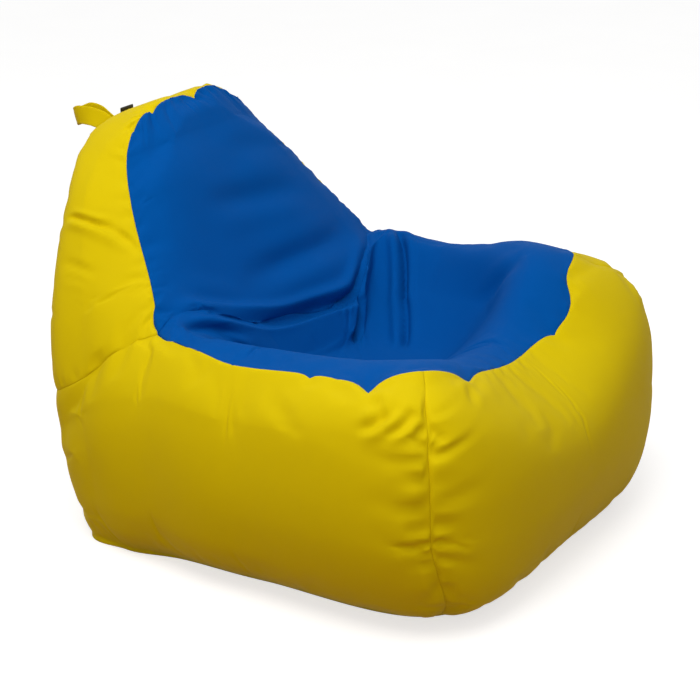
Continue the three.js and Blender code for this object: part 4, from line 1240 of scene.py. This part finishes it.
def close_group(nodes, given, copies):
    """End a geometry tree: make the copies real and give them their finish."""
    real = nodes.add("GeometryNodeRealizeInstances", {"Geometry": copies})
    finished = nodes.add("GeometryNodeSetMaterial", {"Geometry": real, "Material": given["Finish"]})
    nodes.add("NodeGroupOutput", {"Geometry": finished})


# The coil: one bent loop of nylon, repeated on both edges of the tapes, half a pitch apart
coil_tree, coil, given = node_group("coil_turns", Reach=0, Pitch=0, Wire=0, Wide=0, Tall=0)
line = coil.add("GeometryNodeMeshLine", {
    "Start Location": coil.add("ShaderNodeCombineXYZ", {"X": given["Reach"] * -1.0}),
    "Offset": coil.add("ShaderNodeCombineXYZ", {"X": given["Pitch"]}),
    "Count": (given["Reach"] * 2.0).math("DIVIDE", given["Pitch"])})
bend = coil.add("GeometryNodeTransform", {
    "Geometry": coil.add("GeometryNodeCurvePrimitiveCircle", {"Resolution": 10, "Radius": 0.5}),
    "Rotation": (math.radians(90), 0, math.radians(COIL_LEAN)),
    "Scale": coil.add("ShaderNodeCombineXYZ", {"X": given["Tall"], "Y": given["Wide"], "Z": 1.0})})
wire = coil.add("GeometryNodeCurvePrimitiveCircle", {"Resolution": 5, "Radius": given["Wire"]})
loop = coil.add("GeometryNodeCurveToMesh", {"Curve": bend, "Profile Curve": wire})
close_group(coil, given, coil.add("GeometryNodeInstanceOnPoints", {"Points": line, "Instance": loop}))

zip_place = Matrix.Translation(ZIP_CENTRE) @ Matrix.Rotation(-ZIP_TILT, 4, "X")
coil_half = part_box("cover_zip_coil")[1].x - COIL_END
turns = bmesh.new()
for side, shift in ((1, 0.0), (-1, COIL_PITCH / 2)):
    edge = Matrix.Translation((shift, 0, side * COIL_WIDE * COIL_SPREAD))
    facing = Matrix.Rotation(0 if side > 0 else math.pi, 4, "Z")
    row = grow("coil_row", bpy.data.meshes.new("coil_seed"), coil_tree, yellow_nylon,
               zip_place @ edge @ facing, Reach=coil_half, Pitch=COIL_PITCH, Wire=COIL_WIRE, Wide=COIL_WIDE,
               Tall=COIL_TALL)
    turns.from_mesh(row)
coil_mesh = bpy.data.meshes.new("cover_zip_turns")
for face in turns.faces:
    face.smooth = True
turns.to_mesh(coil_mesh)
turns.free()
add_piece("cover_zip_turns", coil_mesh, yellow_nylon, "zip_coil", "cover_zip_coil")

# Stitches: a plump little thread at each step along a path
stitch_tree, stitch, given = node_group("stitch_row", Pitch=0, Long=0, Thread=0)
path = stitch.add("GeometryNodeResampleCurve", {
    "Curve": stitch.add("GeometryNodeMeshToCurve", {"Mesh": given["Geometry"]}),
    "Length": given["Pitch"]}, mode="LENGTH")
bead = stitch.add("GeometryNodeTransform", {
    "Geometry": stitch.add("GeometryNodeMeshUVSphere", {"Segments": 6, "Rings": 4, "Radius": 0.5}),
    "Rotation": (0, math.radians(90), 0),
    "Scale": stitch.add("ShaderNodeCombineXYZ", {
        "X": given["Thread"] * 2.0, "Y": given["Thread"] * 2.0, "Z": given["Long"]})})
tangent = stitch.add("GeometryNodeInputTangent")
facing = stitch.add("FunctionNodeAlignEulerToVector", {"Vector": tangent}, axis="X")
sewn = stitch.add("GeometryNodeInstanceOnPoints", {"Points": path, "Instance": bead, "Rotation": facing})
close_group(stitch, given, sewn)


def sew(name, paths, material):
    """Stitches along open paths of points, as one mesh."""
    points = np.concatenate(paths)
    starts = np.cumsum([0] + [len(path) for path in paths])
    edges = [(k, k + 1) for start, stop in zip(starts, starts[1:]) for k in range(start, stop - 1)]
    line = bpy.data.meshes.new(name)
    line.from_pydata(points.tolist(), edges, [])
    sewn = grow(name, line, stitch_tree, material, Matrix(), Pitch=STITCH_PITCH, Long=STITCH_LONG,
                Thread=STITCH_THREAD)
    sewn.shade_smooth()
    return sewn


def frame_path(off):
    """A rectangle round the zip's window, a little outside it, in metres."""
    x, v = ZIP_REACH + off, ZIP_GAP + off
    corners = [(-x, -v), (x, -v), (x, v), (-x, v), (-x, -v)]
    path = [np.linspace(a, b, max(2, int(math.dist(a, b) / 0.006)), endpoint=False)
            for a, b in zip(corners, corners[1:])]
    flat = np.concatenate(path + [[corners[-1]]])
    return np.array(ZIP_CENTRE) + flat[:, :1] * (1, 0, 0) + flat[:, 1:] * zip_up + STITCH_OUT * zip_out


thread_shade, look = new_material("sewing_thread")
twist = pattern(look, "Noise", 900.0, Detail=2.0)
finish(look, twist, (0.50, 0.36, 0.002), (0.74, 0.56, 0.010), twist * 0.2 + 0.4)
add_piece("zip_stitches", sew("zip_stitches", [frame_path(off) for off in STITCH_ROWS], thread_shade),
          thread_shade, "yellow_fabric")

# ---- Carry handle -------------------------------------------------------------------------
# A strap of the cover's own cloth, folded double and edge-stitched, its two ends sewn into the
# seam at the top of the back so that it stands out in a flat loop.

STRAP_WIDE, STRAP_THICK, STRAP_STEPS = 0.036, 0.0024, 90
handle_low, handle_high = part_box("carry_handle")
handle_mid = (handle_low + handle_high) / 2
STRAP_PATH = [
    (-0.004, -0.075, -0.030), (-0.009, -0.044, -0.006), (-0.013, -0.018, 0.003), (-0.015, 0.004, 0.005),
    (-0.013, 0.025, 0.003), (-0.004, 0.039, -0.004), (0.004, 0.027, 0.000), (0.012, 0.010, 0.007),
    (0.021, -0.008, 0.001), (0.025, -0.026, -0.013), (0.029, -0.062, -0.038)]
STRAP_LEAN = [
    (0.30, -0.10, 1), (0.34, -0.10, 1), (0.34, -0.05, 1), (0.20, 0.05, 1), (0.08, 0.15, 1), (-0.08, 0.22, 1),
    (-0.10, 0.10, 1), (-0.05, 0.05, 1), (0, 0, 1), (0, -0.10, 1), (0, -0.20, 1)]


def strap_mesh(name, knots, leans, wide, thick, steps, ripple):
    """A closed strap along a smooth path, with soft edges and a shallow wave across it."""
    places = np.linspace(0, len(knots) - 1, steps)
    line = weights(places, len(knots), False) @ np.array(knots)
    lean = weights(places, len(knots), False) @ np.array(leans, float)
    lean /= np.linalg.norm(lean, axis=1, keepdims=True)
    run = np.gradient(line, axis=0)
    face = np.cross(run, lean)
    face /= np.linalg.norm(face, axis=1, keepdims=True)
    share = np.array([-0.5, -0.494, -0.46, -0.36, -0.2, 0, 0.2, 0.36, 0.46, 0.494, 0.5])
    bulge = np.array([0, 0.32, 0.47, 0.44, 0.5, 0.5, 0.5, 0.44, 0.47, 0.32, 0])
    across = np.concatenate([share, share[-2:0:-1]]) * wide
    out = np.concatenate([bulge, -bulge[-2:0:-1]]) * thick
    wave = ripple * np.sin(across[None] * 150 + np.linspace(0, 9, steps)[:, None])
    points = (line[:, None] + across[None, :, None] * lean[:, None]
              + (out[None] + wave)[..., None] * face[:, None])
    rows, around = points.shape[:2]
    number = np.arange(rows * around).reshape(rows, around)
    turned = np.roll(number, -1, 1)
    quads = np.stack([number[:-1], turned[:-1], turned[1:], number[1:]], -1).reshape(-1, 4)
    mesh = bpy.data.meshes.new(name)
    ends = [number[0][::-1].tolist(), number[-1].tolist()]
    mesh.from_pydata(points.reshape(-1, 3).tolist(), [], quads.tolist() + ends)
    bm = bmesh.new()
    bm.from_mesh(mesh)
    bmesh.ops.recalc_face_normals(bm, faces=bm.faces)
    layer = bm.loops.layers.uv.new("cloth")
    steps_along = np.concatenate([[0], np.cumsum(np.linalg.norm(np.diff(line, axis=0), axis=1))])
    for f in bm.faces:
        f.smooth = len(f.verts) == 4
        for corner in f.loops:
            r, c = divmod(corner.vert.index, around)
            corner[layer].uv = (steps_along[r], across[c])
    bm.to_mesh(mesh)
    bm.free()
    return mesh, line, lean, face


strap_knots = [tuple(handle_mid + Vector(offset)) for offset in STRAP_PATH]
strap, strap_line, strap_lean, strap_face = strap_mesh(
    "handle_strap", strap_knots, STRAP_LEAN, STRAP_WIDE, STRAP_THICK, STRAP_STEPS, 0.0003)
edge_rows = [strap_line + strap_lean * STRAP_WIDE * side * 0.42 + strap_face * STRAP_THICK * out * 0.5
             for side in (-1, 1) for out in (-1, 1)]
handle = add_piece("handle_strap", strap, yellow_cloth, "yellow_fabric", "carry_handle", "handle_anchor_left",
                   "handle_anchor_right", body=None)
edge_stitches = sew("handle_stitches", [row[16:-16] for row in edge_rows], thread_shade)
handle_stitches = add_piece("handle_stitches", edge_stitches, thread_shade, "yellow_fabric", body=None)
for piece in (handle, handle_stitches):
    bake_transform(piece)

# ---- Seam tab -----------------------------------------------------------------------------
# A short bare end of black satin ribbon, folded over and caught in the same seam.

SATIN_RIB = 0.0009

tab_low, tab_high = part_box("seam_tab")
tab_mid = (tab_low + tab_high) / 2 + Vector((0.006, 0.001, -0.005))
ribbon_black, look = new_material("black_satin")
axis = look.add("ShaderNodeSeparateXYZ", {0: look.add("ShaderNodeTexCoord")["Object"]})
sheen = pattern(look, "Noise", 90.0, Detail=3.0)
rib = axis["X"].wave(SATIN_RIB)
finish(look, sheen * 0.6 + rib * 0.4, (0.004, 0.004, 0.004), (0.022, 0.021, 0.020), sheen * 0.2 + 0.38,
       (0.3, 0.0002, rib))
TAB_SPARE, TAB_THICK, TAB_STEPS = 0.006, 0.0008, 40
TAB_FOLD = [(-0.0009, -0.012), (-0.0010, -0.004), (-0.0012, 0.0035), (0, 0.0062), (0.0013, 0.0035),
            (0.0010, -0.004), (0.0009, -0.012)]
tab_knots = [(tab_mid.x, tab_mid.y + out, tab_mid.z + rise) for out, rise in TAB_FOLD]
tab_mesh = strap_mesh("tab_ribbon", tab_knots, [(1, 0, 0.02)] * len(tab_knots),
                      tab_high.x - tab_low.x + TAB_SPARE, TAB_THICK, TAB_STEPS, 0.0)[0]
tab = add_piece("tab_ribbon", tab_mesh, ribbon_black, "black_ribbon", "seam_tab")
